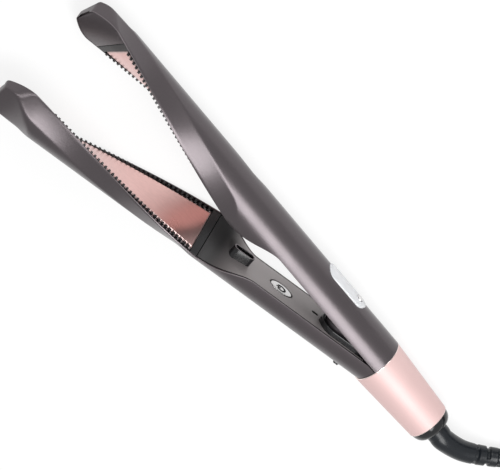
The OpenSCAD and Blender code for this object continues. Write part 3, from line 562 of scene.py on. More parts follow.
def tip_half(x):
    """Half the tip's width, which a curved cut takes in at each side."""
    arm, tip = sizes("arm", "tip")
    curve = 1.45
    return arm.radius - (arm.radius - tip.flat / 2) * max(1 - (arm.length - x) / tip.corner, 0) ** curve


def tip_back(x):
    """Height of the tip's slanted back."""
    arm, tip = sizes("arm", "tip")
    return arm.radius - max(x - arm.length + tip.slant, 0) * tip.depth / tip.slant


def flute_limit(x):
    """How far out the flats lie."""
    arm, plate = sizes("arm", "plate")
    return arm.radius * (1 - (1 - cos(FLUTE_HALF)) * ease((x - plate.start + plate.band) / FLUTE_RUN))


def flute_u(x, w, back):
    """How far across the flat lets a piece reach at height w."""
    return (flute_limit(x) - back - w * sin(FLUTE_AT)) / cos(FLUTE_AT)


def shaped(x, u, w, back):
    """A section point drawn in to the flats of the barrel and the tip, set back by `back`."""
    arm, tip = sizes("arm", "tip")
    for side in (1, -1):
        nu, nw = side * cos(FLUTE_AT), sin(FLUTE_AT)
        out = u * nu + w * nw
        move = out - held(out, flute_limit(x) - back)
        u, w = u - move * nu, w - move * nw
    turn = twist(arm.length - tip.slant / 2) - twist(x)
    u = copysign(held(abs(u), tip_half(x) - back, soft=tip_soft(x, tip.corner)), u)
    across = u * cos(turn) + w * sin(turn)
    away = held(w * cos(turn) - u * sin(turn), tip_back(x) - back, soft=tip_soft(x, tip.slant))
    return across * cos(turn) - away * sin(turn), away * cos(turn) + across * sin(turn)


def shell_outline(x, back=0.0):
    """Outer contour of a shell from rim to rim, with a small bevel at each rim."""
    arm = sizes("arm")
    lift = asin((arm.gap + EDGE) / arm.radius)
    r = arm.radius - back
    return [shaped(x, r * cos(a), r * sin(a), back)
            for a in spaced(lift, pi - lift, SHELL_FACETS)]


def slab(half, back_half, low, high, edge, n):
    """Section of a cover from half its width at the face and at the back, bevelled beside the face."""
    ring = [(u, high) for u in spaced(back_half, -back_half, n)] + [(-half, low + edge)]
    return ring + [(u, low) for u in spaced(edge - half, half - edge, n)] + [(half, low + edge)]


class STRAIGHTENER_OT_shells(bpy.types.Operator):
    """Makes the two twisted shells with their slanted tips"""
    bl_idname = "straightener.shells"
    bl_label = "Shells"

    def execute(self, context):
        arm, plate = sizes("arm", "plate")
        tip_x, smooth_x, nose, through = tip_start(), plate.start + FLUTE_RUN, 1.2 * MM, (7 * MM, 20 * MM)
        # Close together where the section changes
        stations = (steps(0, arm.twist_start, 12 * MM)[:-1]
                    + steps(arm.twist_start, smooth_x, 1.1 * MM)[:-1]
                    + steps(smooth_x, tip_x - 1.05 * MM, 1.8 * MM)
                    + steps(tip_x - 0.95 * MM, arm.length - nose, 1.0 * MM))
        ends = [(arm.length - nose * (1 - sin(a)), nose * (1 - cos(a)))
                for a in spaced(0, pi / 2, 5)[1:]]
        for arm_name, place, body in ARMS:
            places = [(x, 0.0) for x in stations] + ends
            rings, opening, middle = [], grown(WINDOW, 2 * SEAT), WINDOW_X
            if arm_name == "moving":
                rings, opening, middle = [self.rear_edge()], LOCK_SLOT, LOCK_X
                places = [(arm.hinge_x, 0.0)] + [spot for spot in places if spot[0] > arm.hinge_x]
            rings += along_arm(place, [(x, self.section(x, back)) for x, back in places])
            bm = bmesh.new()
            # The small bevel at each rim gets the lighter paint of a painted highlight
            rims = (0, SHELL_FACETS + 1)
            second_finish(loft(bm, rings), len(rings[0]), lambda row, column: column in rims)
            piece = finish_piece(f"{arm_name}_shell_skin", bm, ["shell_paint", "rim_line"], body,
                                 [f"{arm_name}_shell"], sharp=24)
            cut(piece, [prism(stadium(*opening), middle, 0, *through, place)])
        return {"FINISHED"}

    def section(self, x, back):
        """A half ring: the outer contour with a small edge at each rim, then the hollow back again."""
        arm = sizes("arm")
        deep = arm.radius - arm.wall - arm.gap
        # In the tip the hollow is only a recess for the cover
        limit = deep if x < tip_start() - 1 * MM else 1.6 * MM
        outer = shell_outline(x, back)
        half = min(arm.radius, tip_half(x)) - arm.rim - back
        hollow = [shaped(x, half * cos(a), arm.gap + min(deep * sin(a), limit), arm.rim + back)
                  for a in spaced(pi, 0, SHELL_FACETS)]
        hollow[0], hollow[-1] = (-half, arm.gap), (half, arm.gap)
        return [(outer[0][0] - EDGE, arm.gap)] + outer + [(outer[-1][0] + EDGE, arm.gap)] + hollow

    def rear_edge(self):
        """The moving shell's rear end, square to the handle while the arm stands open."""
        arm = sizes("arm")
        tilt, clear = arm.opening, 0.3 * MM

        def end_x(w):
            return arm.hinge_x + (clear - arm.hinge_x + w * sin(tilt)) / cos(tilt)

        rim = (arm.gap + (arm.hinge_x - end_x(arm.gap)) * sin(tilt)) / cos(tilt)
        return [moving((end_x(max(w, rim)), max(w, rim), u)) for u, w in self.section(0.0, 0.0)]


class STRAIGHTENER_OT_tip_covers(bpy.types.Operator):
    """Makes the covers inside the tips"""
    bl_idname = "straightener.tip_covers"
    bl_label = "Tip Covers"

    def execute(self, context):
        arm = sizes("arm")
        tip_x, edge, thick = tip_start(), 0.35 * MM, 1.4 * MM
        narrowing = cos(radians(11.25))     # Of the shell's hollow, from its rim to the cover's back
        places = ([(tip_x, edge), (tip_x + edge, 0)]
                  + [(x, 0) for x in steps(tip_x + 1 * MM, arm.length - 1.2 * MM, 1 * MM)]
                  + [(arm.length - 0.9 * MM, EDGE)])
        sections = []
        for x, back in places:
            hollow = min(arm.radius, tip_half(x)) - arm.rim
            half = hollow - SEAT - back
            high = arm.gap + thick
            back_half = min(hollow * narrowing - SEAT, flute_u(x, high, arm.rim + SEAT))
            sections.append((x, slab(half, back_half, arm.gap + back, high, edge, 12)))
        both_arms("tip_lid", sections, ["shell_paint"], "tip_cover", 40)
        return {"FINISHED"}


class STRAIGHTENER_OT_plates(bpy.types.Operator):
    """Makes the polished helical plates"""
    bl_idname = "straightener.plates"
    bl_label = "Plates"

    def execute(self, context):
        arm, plate = sizes("arm", "plate")
        half, top, bevel, soft = plate.width / 2, plate.bed - 0.2 * MM, plate.bevel, 0.16 * MM
        rear, end = plate.start + SEAT, plate.start + plate.length - SEAT

        def section(back):
            face = arm.gap + back
            ring = [(u, top) for u in spaced(half, -half, 10)]
            ring += [(-half, arm.gap + bevel), (bevel - half - soft, face + soft)]
            ring += [(u, face) for u in spaced(bevel - half, half - bevel, 16)]
            return ring + [(half - bevel + soft, face + soft), (half, arm.gap + bevel)]

        places = ([(rear, bevel * 0.8), (rear + bevel, 0)]
                  + [(x, 0) for x in steps(rear + 1.4 * MM, end - 1.4 * MM, 1.5 * MM)]
                  + [(end - bevel, 0), (end, bevel * 0.8)])
        count, last = len(section(0)), len(places) - 2
        sides = (11, 12, count - 3, count - 2)

        def bevelled(row, column):
            """The strips beside the face, and its first and last rows."""
            return column in sides or row in (0, last) and sides[0] <= column <= sides[-1]

        both_arms("hot_plate", [(x, section(back)) for x, back in places], ["plate_coat", "plate_edge"],
                  "plate", 28, bevelled)
        return {"FINISHED"}


class STRAIGHTENER_OT_carriers(bpy.types.Operator):
    """Makes the black carriers with their end bands and channels"""
    bl_idname = "straightener.carriers"
    bl_label = "Plate Carriers"

    def execute(self, context):
        arm, plate = sizes("arm", "plate")
        rear, end, step = plate.start, plate.start + plate.length, 0.08 * MM
        barrel, tip_x = rear - plate.band, tip_start()

        def half(x, w):
            return min(seat_u(w), flute_u(x, w, arm.rim + SEAT))

        def section(x, bed):
            span = half(x, bed) - EDGE
            keel = [(half(x, plate.bed + deep), plate.bed + deep) for deep in (2 * MM, 4 * MM, 6 * MM)]
            right = [(span, bed), (half(x, bed + EDGE), bed + EDGE)] + keel
            left = [(-u, w) for u, w in reversed(right)]
            return right + left + [(u, bed) for u in spaced(-span, span, 12)[1:-1]]

        places = ([(barrel, arm.gap + EDGE), (barrel + EDGE, arm.gap)]
                  + [(x, arm.gap) for x in steps(barrel + 1 * MM, rear - EDGE, 1.2 * MM)]
                  + [(rear - step, arm.gap + EDGE)]
                  + [(x, plate.bed) for x in steps(rear, end, 1.8 * MM)]
                  + [(end + step, arm.gap + EDGE)]
                  + [(x, arm.gap) for x in steps(end + EDGE, tip_x - 0.4 * MM, 1.2 * MM)]
                  + [(tip_x - 0.15 * MM, arm.gap + EDGE)])
        both_arms("carrier_moulding", [(x, section(x, bed)) for x, bed in places], ["carrier_black"],
                  "plate_carrier", 30)
        return {"FINISHED"}


class STRAIGHTENER_OT_combs(bpy.types.Operator):
    """Makes the comb strips with their rows of notched teeth"""
    bl_idname = "straightener.combs"
    bl_label = "Combs"

    def execute(self, context):
        arm, plate = sizes("arm", "plate")
        root = arm.gap + 1.6 * MM
        deep = root + 1.3 * MM
        end = plate.start + plate.length
        low_u, high_u = plate.width / 2 + SEAT, flute_u(end, deep, arm.rim + 0.3 * MM)
        tooth_u = flute_u(end, root + 0.2 * MM, arm.rim + EDGE)
        places = steps(plate.start + SEAT, end - SEAT, 1.8 * MM)
        corners = ((high_u, root), (high_u, deep), (low_u, deep), (low_u, root))
        for arm_name, place, body in ARMS:
            for letter, side in (("a", 1), ("b", -1)):
                strip = [(side * u, w) for u, w in corners]
                bm = bmesh.new()
                # The strip's paint is partly painted light, lighter against the shade in the channel
                loft(bm, along_arm(place, [(x, strip) for x in places]), index=1)
                # The teeth of the two arms stand half a pitch apart, to pass between each other
                x = plate.start + 1.1 * MM + (plate.pitch / 2 if arm_name == "moving" else 0)
                while x < end - 0.9 * MM:
                    self.tooth(bm, x, side, low_u + 0.2 * MM, tooth_u, root, place)
                    x += plate.pitch
                finish_piece(f"{arm_name}_comb_row_{letter}", bm, ["comb_black", "comb_floor"], body,
                             [f"{arm_name}_comb_{letter}"], sharp=35)
        return {"FINISHED"}

    def tooth(self, bm, x, side, low_u, high_u, root, place):
        """One tooth: a wedge across the channel, broad at its root, with a small notch in its tip."""
        spin = Matrix.Rotation(twist(x), 3, "X")
        tip = sizes("arm").gap - sizes("plate").rise
        foot, head, notch, shoulder, edge = 0.85 * MM, 0.50 * MM, 0.22 * MM, 0.45 * MM, 0.18 * MM
        right = [(head * 0.45, tip), (head, tip), (head + 0.08 * MM, tip + shoulder),
                 (foot, root + 0.2 * MM)]
        outline = [(-p, w) for p, w in reversed(right)] + [(0, tip + notch)] + right
        ends = ((low_u, edge), (low_u + edge, 0), (high_u - edge, 0), (high_u, edge))
        loft(bm, [[place(spin @ Vector((x + p * (1 - back / foot), w + back, side * u)))
                   for p, w in outline] for u, back in ends])


class STRAIGHTENER_OT_covers(bpy.types.Operator):
    """Makes the inner covers of the handle, with the openings for what shows in them"""
    bl_idname = "straightener.covers"
    bl_label = "Inner Covers"

    def execute(self, context):
        arm, plate = sizes("arm", "plate")
        top, edge, through = arm.gap + 1.6 * MM, 0.45 * MM, (-6 * MM, 8 * MM)
        half, barrel = seat_u(top), plate.start - plate.band - 0.3 * MM
        ring = slab(half, half, arm.gap, top, edge, 16)
        for arm_name, place, body in ARMS:
            start, side, play, paint = 9.8 * MM, -1, 0.6 * MM, "scoop_paint"
            openings = [(stadium(*POCKET), BOSS_X, 0)]
            if arm_name == "moving":
                start, side, play, paint = 9.3 * MM, 1, SEAT, "cover_paint"
                openings = [(oval(*grown(KEY, 0.6 * MM)), KEY_X, 0),
                            (stadium(*grown(LIGHT, 2 * SEAT)), LIGHT_X, 0),
                            (stadium(*grown(BOSS, 2 * SEAT)), BOSS_X, 0)]
            # The liner's opening runs out through the cover's rear end
            half_web, wide = 14 * MM, LINER[1] / 2 + play
            web = [(-half_web, -wide), (half_web, -wide), (half_web, wide), (-half_web, wide)]
            openings = [(stadium(*grown(LINER, 2 * play)), LINER_X, side * LINER_U),
                        (web, 9 * MM, side * LINER_U)] + openings
            places = steps(start, arm.twist_start, 6 * MM)[:-1] + steps(arm.twist_start, barrel, 0.9 * MM)
            bm = bmesh.new()
            faces = loft(bm, along_arm(place, [(x, ring) for x in places]))
            second_finish(faces, len(ring), lambda row, column: column in (17, len(ring) - 2))
            piece = finish_piece(f"{arm_name}_cover_panel", bm, [paint, "ink_black"], body,
                                 [f"{arm_name}_inner_cover"], sharp=30)
            cut(piece, [prism(outline, x, u, *through, place) for outline, x, u in openings])
        return {"FINISHED"}


class STRAIGHTENER_OT_hinge(bpy.types.Operator):
    """Makes the glossy liner round the hinge web and the spring, and dresses the bracket and pin"""
    bl_idname = "straightener.hinge"
    bl_label = "Hinge"

    def execute(self, context):
        """The ring, then the block behind it, then the knuckle that turns on the pin."""
        bm = bmesh.new()
        low, high, corner = -3.1 * MM, 3.2 * MM, 20
        inner = grown(LINER, -4 * MM)
        rim = collar(stadium(*LINER, corner), stadium(*inner, corner), LINER_X, LINER_U, low, 0.7 * MM, 6)
        sides = [drawn(stadium(*size, corner), LINER_X, LINER_U, high) for size in (LINER, inner)]
        tube(bm, [sides[0]] + rim + [sides[1]])
        r = inner[1] / 2
        round_x = LINER_X - inner[0] / 2 + r
        round_end = [(round_x - sqrt(r ** 2 - u ** 2), u + LINER_U)
                     for u in steps(-5.2 * MM, 4.9 * MM, 0.8 * MM)]
        rear, front, near, far = 5 * MM, 12 * MM, -5 * MM, 8 * MM
        pad(bm, [(rear, near), (front, near)] + round_end + [(front, far), (rear, far)], 0, -1.5 * MM, high)
        pin_x, bore, barrel, half, soft = sizes("arm").hinge_x, 1.55 * MM, 3.8 * MM, 8 * MM, 0.3 * MM
        right = [(barrel, half - soft), (barrel - soft, half), (bore, half)]
        profile = [(radius, -z) for radius, z in reversed(right)] + right
        tube(bm, [[moving((pin_x + radius * cos(a), radius * sin(a), z)) for a in around(48)]
                  for radius, z in profile])
        finish_piece("hinge_ring", bm, ["black_gloss"], "moving_arm", ["hinge_liner"], 40)
        dress("web_paint", "hinge_bracket")
        dress("steel", "hinge_pin")
        self.spring()
        return {"FINISHED"}

    def spring(self):
        """The wound spring between the arms, built at one length: nothing here shortens it as they close."""
        low, high = (Vector(corner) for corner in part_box("opening_spring"))
        wire, turns, facets, flat_share = 0.5 * MM, 5, 32, 0.35
        radius = (high.x - low.x) / 2 - wire
        middle = (low + high) / 2
        rise = high.y - low.y - 2 * wire
        rings = []
        for i in range(turns * facets + 1):
            a, run = 2 * pi * i / facets, i / (turns * facets)
            # The first and last turns lie nearly flat, as on a ground spring
            climb = ease(run) * flat_share + run * (1 - flat_share)
            out = Vector((cos(a), 0, sin(a)))
            spot = Vector((middle.x, low.y + wire + rise * climb, middle.z)) + radius * out
            rings.append([spot + wire * (out * cos(b) + Vector((0, 1, 0)) * sin(b))
                          for b in around(12)])
        bm = bmesh.new()
        loft(bm, rings)
        coil = finish_piece("wound_spring", bm, ["steel"], "fixed_arm", ["opening_spring"], 60)
        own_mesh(coil)


class STRAIGHTENER_OT_controls(bpy.types.Operator):
    """Makes the power button, indicator light, alignment boss and lock slider"""
    bl_idname = "straightener.controls"
    bl_label = "Controls"

    def execute(self, context):
        self.power_key(sizes("arm").gap)
        self.indicator(sizes("arm").gap)
        self.boss(sizes("arm").gap)
        self.lock_key()
        return {"FINISHED"}

    def power_key(self, gap):
        """A silver key in a dark collar on a dark foot, with an open ring and a bar as its sign."""
        foot = 1.9 * MM
        bm = bmesh.new()
        # The collar, the key and the foot
        pad(bm, oval(*KEY), KEY_X, gap + EDGE, foot, 0.2 * MM, 1)
        pad(bm, oval(*grown(KEY, -1.1 * MM)), KEY_X, gap + 0.05 * MM, 1.0 * MM, 0.35 * MM, 0)
        pad(bm, oval(*grown(KEY, 3 * MM)), KEY_X, foot, foot + 1 * MM, 0.2 * MM, 1)
        sign, mark = (6.2 * MM, 5.6 * MM), gap - 0.03 * MM
        outer, inner = oval(*sign), oval(*grown(sign, -2.5 * MM))
        n = len(outer)
        for i in range(n):
            if abs((i + 0.5) / n - 0.5) < 0.42:
                corners = [outer[i], outer[(i + 1) % n], inner[(i + 1) % n], inner[i]]
                f = bm.faces.new([bm.verts.new(p) for p in drawn(corners, KEY_X, 0, mark)])
                f.material_index = 1
        half = 0.5 * MM
        block(bm, (KEY_X + 0.4 * MM, mark, -half), (KEY_X + 3.3 * MM, mark + 0.05 * MM, half), moving, 0, 1)
        finish_piece("power_key", bm, ["silver", "ink_black"], "power_button", ["power_button"])

    def indicator(self, gap):
        bm = bmesh.new()
        pad(bm, stadium(*LIGHT), LIGHT_X, gap - 0.1 * MM, 2.4 * MM, 0.3 * MM)
        finish_piece("indicator_lens", bm, ["ink_black"], "moving_arm", ["indicator_light"])

    def boss(self, gap):
        """A hollow boss with a painted highlight on its rim, closed at the bottom."""
        outer, inner = stadium(*BOSS), stadium(*grown(BOSS, -1.8 * MM))
        root = 5.2 * MM
        rings = collar(outer, inner, BOSS_X, 0, gap - 5 * MM, 0.3 * MM, 4)
        rings = [drawn(outer, BOSS_X, 0, root)] + rings + [drawn(inner, BOSS_X, 0, root - 1 * MM)]
        bm = bmesh.new()
        # The rounded lip gets the lighter paint of a painted highlight
        second_finish(loft(bm, rings), len(outer), lambda row, column: 2 <= row <= 8)
        finish_piece("boss_tube", bm, ["black_gloss", "rim_line"], "moving_arm", ["alignment_boss"])

    def lock_key(self):
        """A plate bent round the shell, with a stepped thumb grip on it and a foot through the slot."""
        def curved(p):
            """Bends a flat plate round the shell."""
            angle = p[2] / sizes("arm").radius
            return moving((p[0], p[1] * cos(angle), p[1] * sin(angle)))

        middle, outline = 13.5 * MM, stadium(13 * MM, 8 * MM)
        # The plate's heights in millimetres, and how far its outline is drawn in there
        levels = ((12.8, 0), (14.4, 0), (14.6, 0.1), (14.7, 0.3))
        bm = bmesh.new()
        loft(bm, [drawn(inset(outline, back * MM), middle, 0, w * MM, curved) for w, back in levels])
        # The grip's two steps, the foot and its neck: two corners in millimetres, and the bevel
        for low, high, place, bevel in (((14.1, 14, -3), (18.9, 15.6, 3), curved, 0.35),
                                        ((15.2, 14, -3), (18.2, 16.5, 3), curved, 0.35),
                                        ((5.5, 11.4, -5.6), (21.5, 11.9, 5.6), moving, 0.1),
                                        ((9, 11.8, -2.5), (18, 13.2, 2.5), moving, 0.1)):
            block(bm, Vector(low) * MM, Vector(high) * MM, place, bevel * MM)
        finish_piece("lock_key", bm, ["black_gloss"], "lock_slider", ["lock_slider"])


class STRAIGHTENER_OT_display(bpy.types.Operator):
    """Makes the clear window and the temperature button, and dresses the display behind them"""
    bl_idname = "straightener.display"
    bl_label = "Display"

    def execute(self, context):
        arm = sizes("arm")
        outline = stadium(*WINDOW, 20)

        def ring(points, radius):
            """Points on a cylinder round the handle's axis."""
            return [fixed((WINDOW_X + p[0], sqrt(radius ** 2 - p[1] ** 2), p[1])) for p in points]

        top, soft = arm.radius + 0.9 * MM, 0.6 * MM
        rings = [ring(outline, arm.radius - arm.wall)]
        rings += [ring(line, top - depth) for line, depth in rounded(outline, soft, 5)]
        rings += [ring([(p[0] * part, p[1] * part) for p in inset(outline, soft)], top)
                  for part in (0.75, 0.5, 0.25)]
        bm = bmesh.new()
        loft(bm, rings)
        piece = finish_piece("window_lens", bm, ["clear_window"], "fixed_arm", ["display_window"],
                             sharp=50)
        cut(piece, [prism(oval(*TEMPERATURE_HOLE), TEMPERATURE_X, 0, 5 * MM, 20 * MM, fixed)])

        bm = bmesh.new()
        # Height and diameter in millimetres: the foot, the stem and the dished top
        profile = [(11.8, 6), (12.6, 6), (12.6, 4), (16.1, 4), (16.3, 3.8), (16.4, 3.4), (16.15, 2.6),
                   (16.1, 1.4)]
        loft(bm, [drawn(oval(d * MM, d * MM), TEMPERATURE_X, 0, w * MM, fixed) for w, d in profile])
        finish_piece("temperature_key", bm, ["silver"], "temperature_button", ["temperature_button"],
                     40)
        dress("display_dark", "display_module")
        dress("board_green", "control_board", "switch_board")
        return {"FINISHED"}


class STRAIGHTENER_OT_handle(bpy.types.Operator):
    """Makes the rose-gold sleeve with its bright rims, and the end cap"""
    bl_idname = "straightener.handle"
    bl_label = "Sleeve and Cap"

    def execute(self, context):
        arm, handle = sizes("arm", "handle")
        front, rear, length = arm.radius - 0.1 * MM, handle.rear_radius, handle.sleeve
        wall, soft, facets = 1.6 * MM, 0.4 * MM, 128
        quarter = spaced(0, pi / 2, 5)
        rim = [(0, front - wall)]
        rim += [(-soft * (1 - cos(a)), front - soft * (1 - sin(a))) for a in quarter]
        body = [(-d, front + (rear - front) * d / length)
                for d in steps(soft + 1 * MM, length - soft - 1 * MM, 4 * MM)]
        end = [(-length + soft * (1 - sin(a)), rear - soft * (1 - cos(a))) for a in quarter]
        bm = bmesh.new()
        faces = lathe(bm, rim + body + end + [(-length, rear - wall)], facets)
        second_finish(faces, facets, lambda row, column: not len(rim) - 1 <= row < len(rim) + len(body))
        finish_piece("sleeve_tube", bm, ["sleeve_paint", "sleeve_rim"], "fixed_arm", ["handle_sleeve"],
                     sharp=40)

        dome, mouth, hole, inside = rear - 0.4 * MM, 8.4 * MM, 6.85 * MM, 8.5 * MM
        joint, depth = rear - wall - 0.1 * MM, 5.8 * MM
        profile = [(6 * MM, inside), (6 * MM, joint), (-0.02 * MM, joint), (-0.02 * MM, dome)]
        profile += [(-depth * sin(a), mouth + (dome - mouth) * cos(a))
                    for a in spaced(0, pi / 2, 10)[1:]]
        profile += [(-depth, hole + 0.3 * MM), (0.3 * MM - depth, hole), (2.2 * MM, hole),
                    (2.2 * MM, inside)]
        bm = bmesh.new()
        lathe(bm, [(x - length, r) for x, r in profile], 96)
        finish_piece("cap_moulding", bm, ["black_gloss"], "fixed_arm", ["end_cap"], 40)
        dress("black_gloss", "swivel_hub")
        return {"FINISHED"}


class STRAIGHTENER_OT_inside(bpy.types.Operator):
    """Dresses the parts inside the arms"""
    bl_idname = "straightener.inside"
    bl_label = "Inner Parts"

    def execute(self, context):
        dress("heater_metal", "fixed_heater", "moving_heater")
        dress("silicone", "fixed_cushions", "moving_cushions")
        dress("black_gloss", "alignment_pocket", "lock_plate")
        return {"FINISHED"}


# ---------------------------------------------------------------- cord

# In millimetres from the mouth of the end cap
BOOT_ROUTE = [(0, 0, 0), (-4, 0, 0), (-9, 0, 0), (-22, -3, -4), (-36, -12, -8.5), (-48, -24, -10),
              (-54, -31, -10.2), (-58, -35.7, -10.4)]
LEAD_POINT = (-61.2, -39.5, -10.6)
COIL_CENTRE = Vector((-42.1, -88.9, 0))
COIL_FROM, COIL_TURNS = 132, 7 + 138 / 360      # Where it starts, in degrees, and its turns
COIL_RADIUS, COIL_PITCH = 47, 7.1
TABLE, LIFT = -15, 0.8              # Height of the table, and of the coil above it
LEAD_IN = 6.5                       # Straight run before and after the coil
PLUG_HALF, TAIL = 6.85, 46          # Half the plug's thickness, and the run of cord to it


def from_cap(p):
    handle = sizes("handle")
    return straight((p[0] * MM - handle.sleeve - handle.cap, p[1] * MM, p[2] * MM))


def coil_point(t):
    """The coil winds inwards on the table, climbs, and winds outwards on the layer above."""
    layer = (COIL_TURNS - 0.5) / 2
    s = t - layer
    inner = COIL_RADIUS - COIL_PITCH * layer
    if s < 0:
        r = COIL_RADIUS - COIL_PITCH * t
    elif s < 0.5:
        r = inner - COIL_PITCH * s + 2 * COIL_PITCH * s * s
    else:
        r = inner + COIL_PITCH * (s - 0.5)
    low = TABLE + LIFT + sizes("handle").cord / MM / 2
    a = radians(COIL_FROM + 360 * t)
    return COIL_CENTRE + Vector((r * cos(a), r * sin(a), low + COIL_PITCH * ease(s * 2)))


def smooth_path(points, n):
    """Points on a smooth curve through the given ones."""
    out = []
    for i in range(len(points) - 1):
        a, b, c, d = (Vector(points[max(0, min(len(points) - 1, k))]) for k in (i - 1, i, i + 1, i + 2))
        for k in range(n):
            t = k / n
            out.append(0.5 * (2 * b + (c - a) * t + (2 * a - 5 * b + 4 * c - d) * t * t
                              + (3 * b - a - 3 * c + d) * t ** 3))
    out.append(Vector(points[-1]))
    return out


class STRAIGHTENER_OT_cord(bpy.types.Operator):
    """Makes the strain relief, the cord with its tied coil, and the plug"""
    bl_idname = "straightener.cord"
    bl_label = "Cord"

    def execute(self, context):
        handle = sizes("handle")
        boot = self.strain_relief(handle)
        turns = round(COIL_TURNS * 24)
        coil = [coil_point(COIL_TURNS * i / turns) for i in range(turns + 1)]
        into = (coil[1] - coil[0]).normalized() * LEAD_IN
        coil_end = coil[-1] + (coil[-1] - coil[-2]).normalized() * LEAD_IN
        plug_at = Vector((coil_end.x + TAIL, coil_end.y, TABLE + PLUG_HALF))
        drop = coil_end.z - plug_at.z
        # The tail sinks to the table on its way to the plug
        tail = [coil_end + Vector((TAIL * t, 0, -drop * ease((t - 0.15) / 0.7)))
                for t in (0.15, 0.3, 0.5, 0.7, 0.86)]
        route = [Vector(p) for p in BOOT_ROUTE + [LEAD_POINT]] + [coil[0] - into * 2, coil[0] - into]
        route += coil + [coil_end] + tail + [plug_at]
        curve = bpy.data.curves.new("mains_lead", "CURVE")
        curve.dimensions = "3D"
        curve.bevel_depth = handle.cord / 2
        curve.bevel_resolution = 5
        curve.resolution_u = 4
        curve.use_fill_caps = True
        spline = curve.splines.new("BEZIER")
        spline.bezier_points.add(len(route) - 1)
        for point, p in zip(spline.bezier_points, route):
            point.co = from_cap(p)
            point.handle_left_type = point.handle_right_type = "AUTO"
        curve.materials.append(material("cord_rubber"))
        lead = add_piece("mains_lead", curve, "cord", ["cord_lead", "cord_coil", "cord_tail"])
        plug, tie = self.plug(plug_at), self.tie()
        length = sum((from_cap(b) - from_cap(a)).length for a, b in zip(route, route[1:]))
        from_cap((0, 0, 0))
        dress("nickel", "plug_pins")
        return {"FINISHED"}

    def strain_relief(self, handle):
        """A tapered tube with staggered slots, round the cord where it leaves the cap."""
        path = smooth_path(BOOT_ROUTE, 40)
        runs = [0.0]
        for a, b in zip(path, path[1:]):
            runs.append(runs[-1] + (b - a).length)
        # Place of the first row of slots, distance between rows, and depth, in millimetres
        total, first, pitch, deep = runs[-1], 30.0, 7.0, 1.2
        rings = []
        for i, (p, s) in enumerate(zip(path, runs)):
            along = (path[min(i + 1, len(path) - 1)] - path[max(i - 1, 0)]).normalized()
            side = Vector((0, 0, 1)).cross(along).normalized()
            up = along.cross(side)
            taper = (handle.boot + (handle.boot_end - handle.boot) * s / total) / MM
            taper -= 0.6 * max(0, 1 - (total - s) / 0.8)        # Bevel at the end
            row = round((s - first) / pitch)
            slot = 1 - ease((abs(s - first - row * pitch) - 0.8) / 0.5) if 0 <= row < handle.ribs else 0
            ring = []
            for a in around(64):
                # Every other row of slots is turned by a quarter
                across = abs(cos(a)) if row % 2 else abs(sin(a))
                r = taper - deep * slot * ease((across - 0.22) / 0.12)
                ring.append(from_cap(p + side * (r * cos(a)) + up * (r * sin(a))))
            rings.append(ring)
        bm = bmesh.new()
        loft(bm, rings)
        return finish_piece("strain_relief", bm, ["cord_rubber"], "cord", ["cord_boot"], 38)

    def plug(self, at):
        """The moulded plug body: a round neck that widens into a flat grip."""
        rings = []
        # Along the plug, half its width and half its height, in millimetres
        shape = [(0, 4.6, 4.6), (9, 5.6, 5.6), (18, 6.5, 6.2), (22, 9.5, 6.6), (28, 13.4, 6.85),
                 (36, 14, 6.85), (44, 13.2, 6.5), (50, 13.6, 6.7), (53, 14, 6.85), (53.7, 13.7, 6.6),
                 (54, 13.2, 6.1)]
        for x, half_y, half_z in shape:
            power = 0.5 if x > 24 else 0.5 + 0.5 * (1 - ease((x - 16) / 8))
            rings.append([from_cap(at + Vector((x, half_y * copysign(abs(c) ** power, c),
                                                half_z * copysign(abs(s) ** power, s))))
                          for c, s in ((cos(a), sin(a)) for a in around(48))])
        bm = bmesh.new()
        loft(bm, rings)
        return finish_piece("plug_moulding", bm, ["plug_plastic"], "cord", ["plug_body"],
                            sharp=40)

    def tie(self):
        """A strap round one side of the coil."""
        cord, play, strap, soft, half_width = sizes("handle").cord / MM, 0.15, 0.8, 2.4, 4
        r_out = COIL_RADIUS + cord / 2 + play
        r_in = COIL_RADIUS - COIL_PITCH * ((COIL_TURNS - 0.5) / 2 + 0.2) - cord / 2 - play
        low, high = TABLE + soft, TABLE + LIFT + cord + COIL_PITCH + play + strap - soft
        a = radians(20)
        out, across = Vector((cos(a), sin(a), 0)), Vector((-sin(a), cos(a), 0))
        corners = [(r_out - soft, low, -90), (r_out - soft, high, 0), (r_in + soft, high, 90),
                   (r_in + soft, low, 180)]
        rings = []
        for shrink, y in ((0, -half_width), (0, half_width), (0.75, half_width), (0.75, -half_width)):
            r = soft - shrink
            rings.append([from_cap(COIL_CENTRE + out * (x + (strap + r) * cos(t)) + across * y
                                   + Vector((0, 0, z + r * sin(t))))
                          for x, z, start in corners
                          for t in (radians(start + 15 * i) for i in range(7))])
        bm = bmesh.new()
        tube(bm, rings)
        return finish_piece("coil_strap", bm, ["woven_strap"], "cord", ["coil_tie"], sharp=40)


# ---------------------------------------------------------------- studio

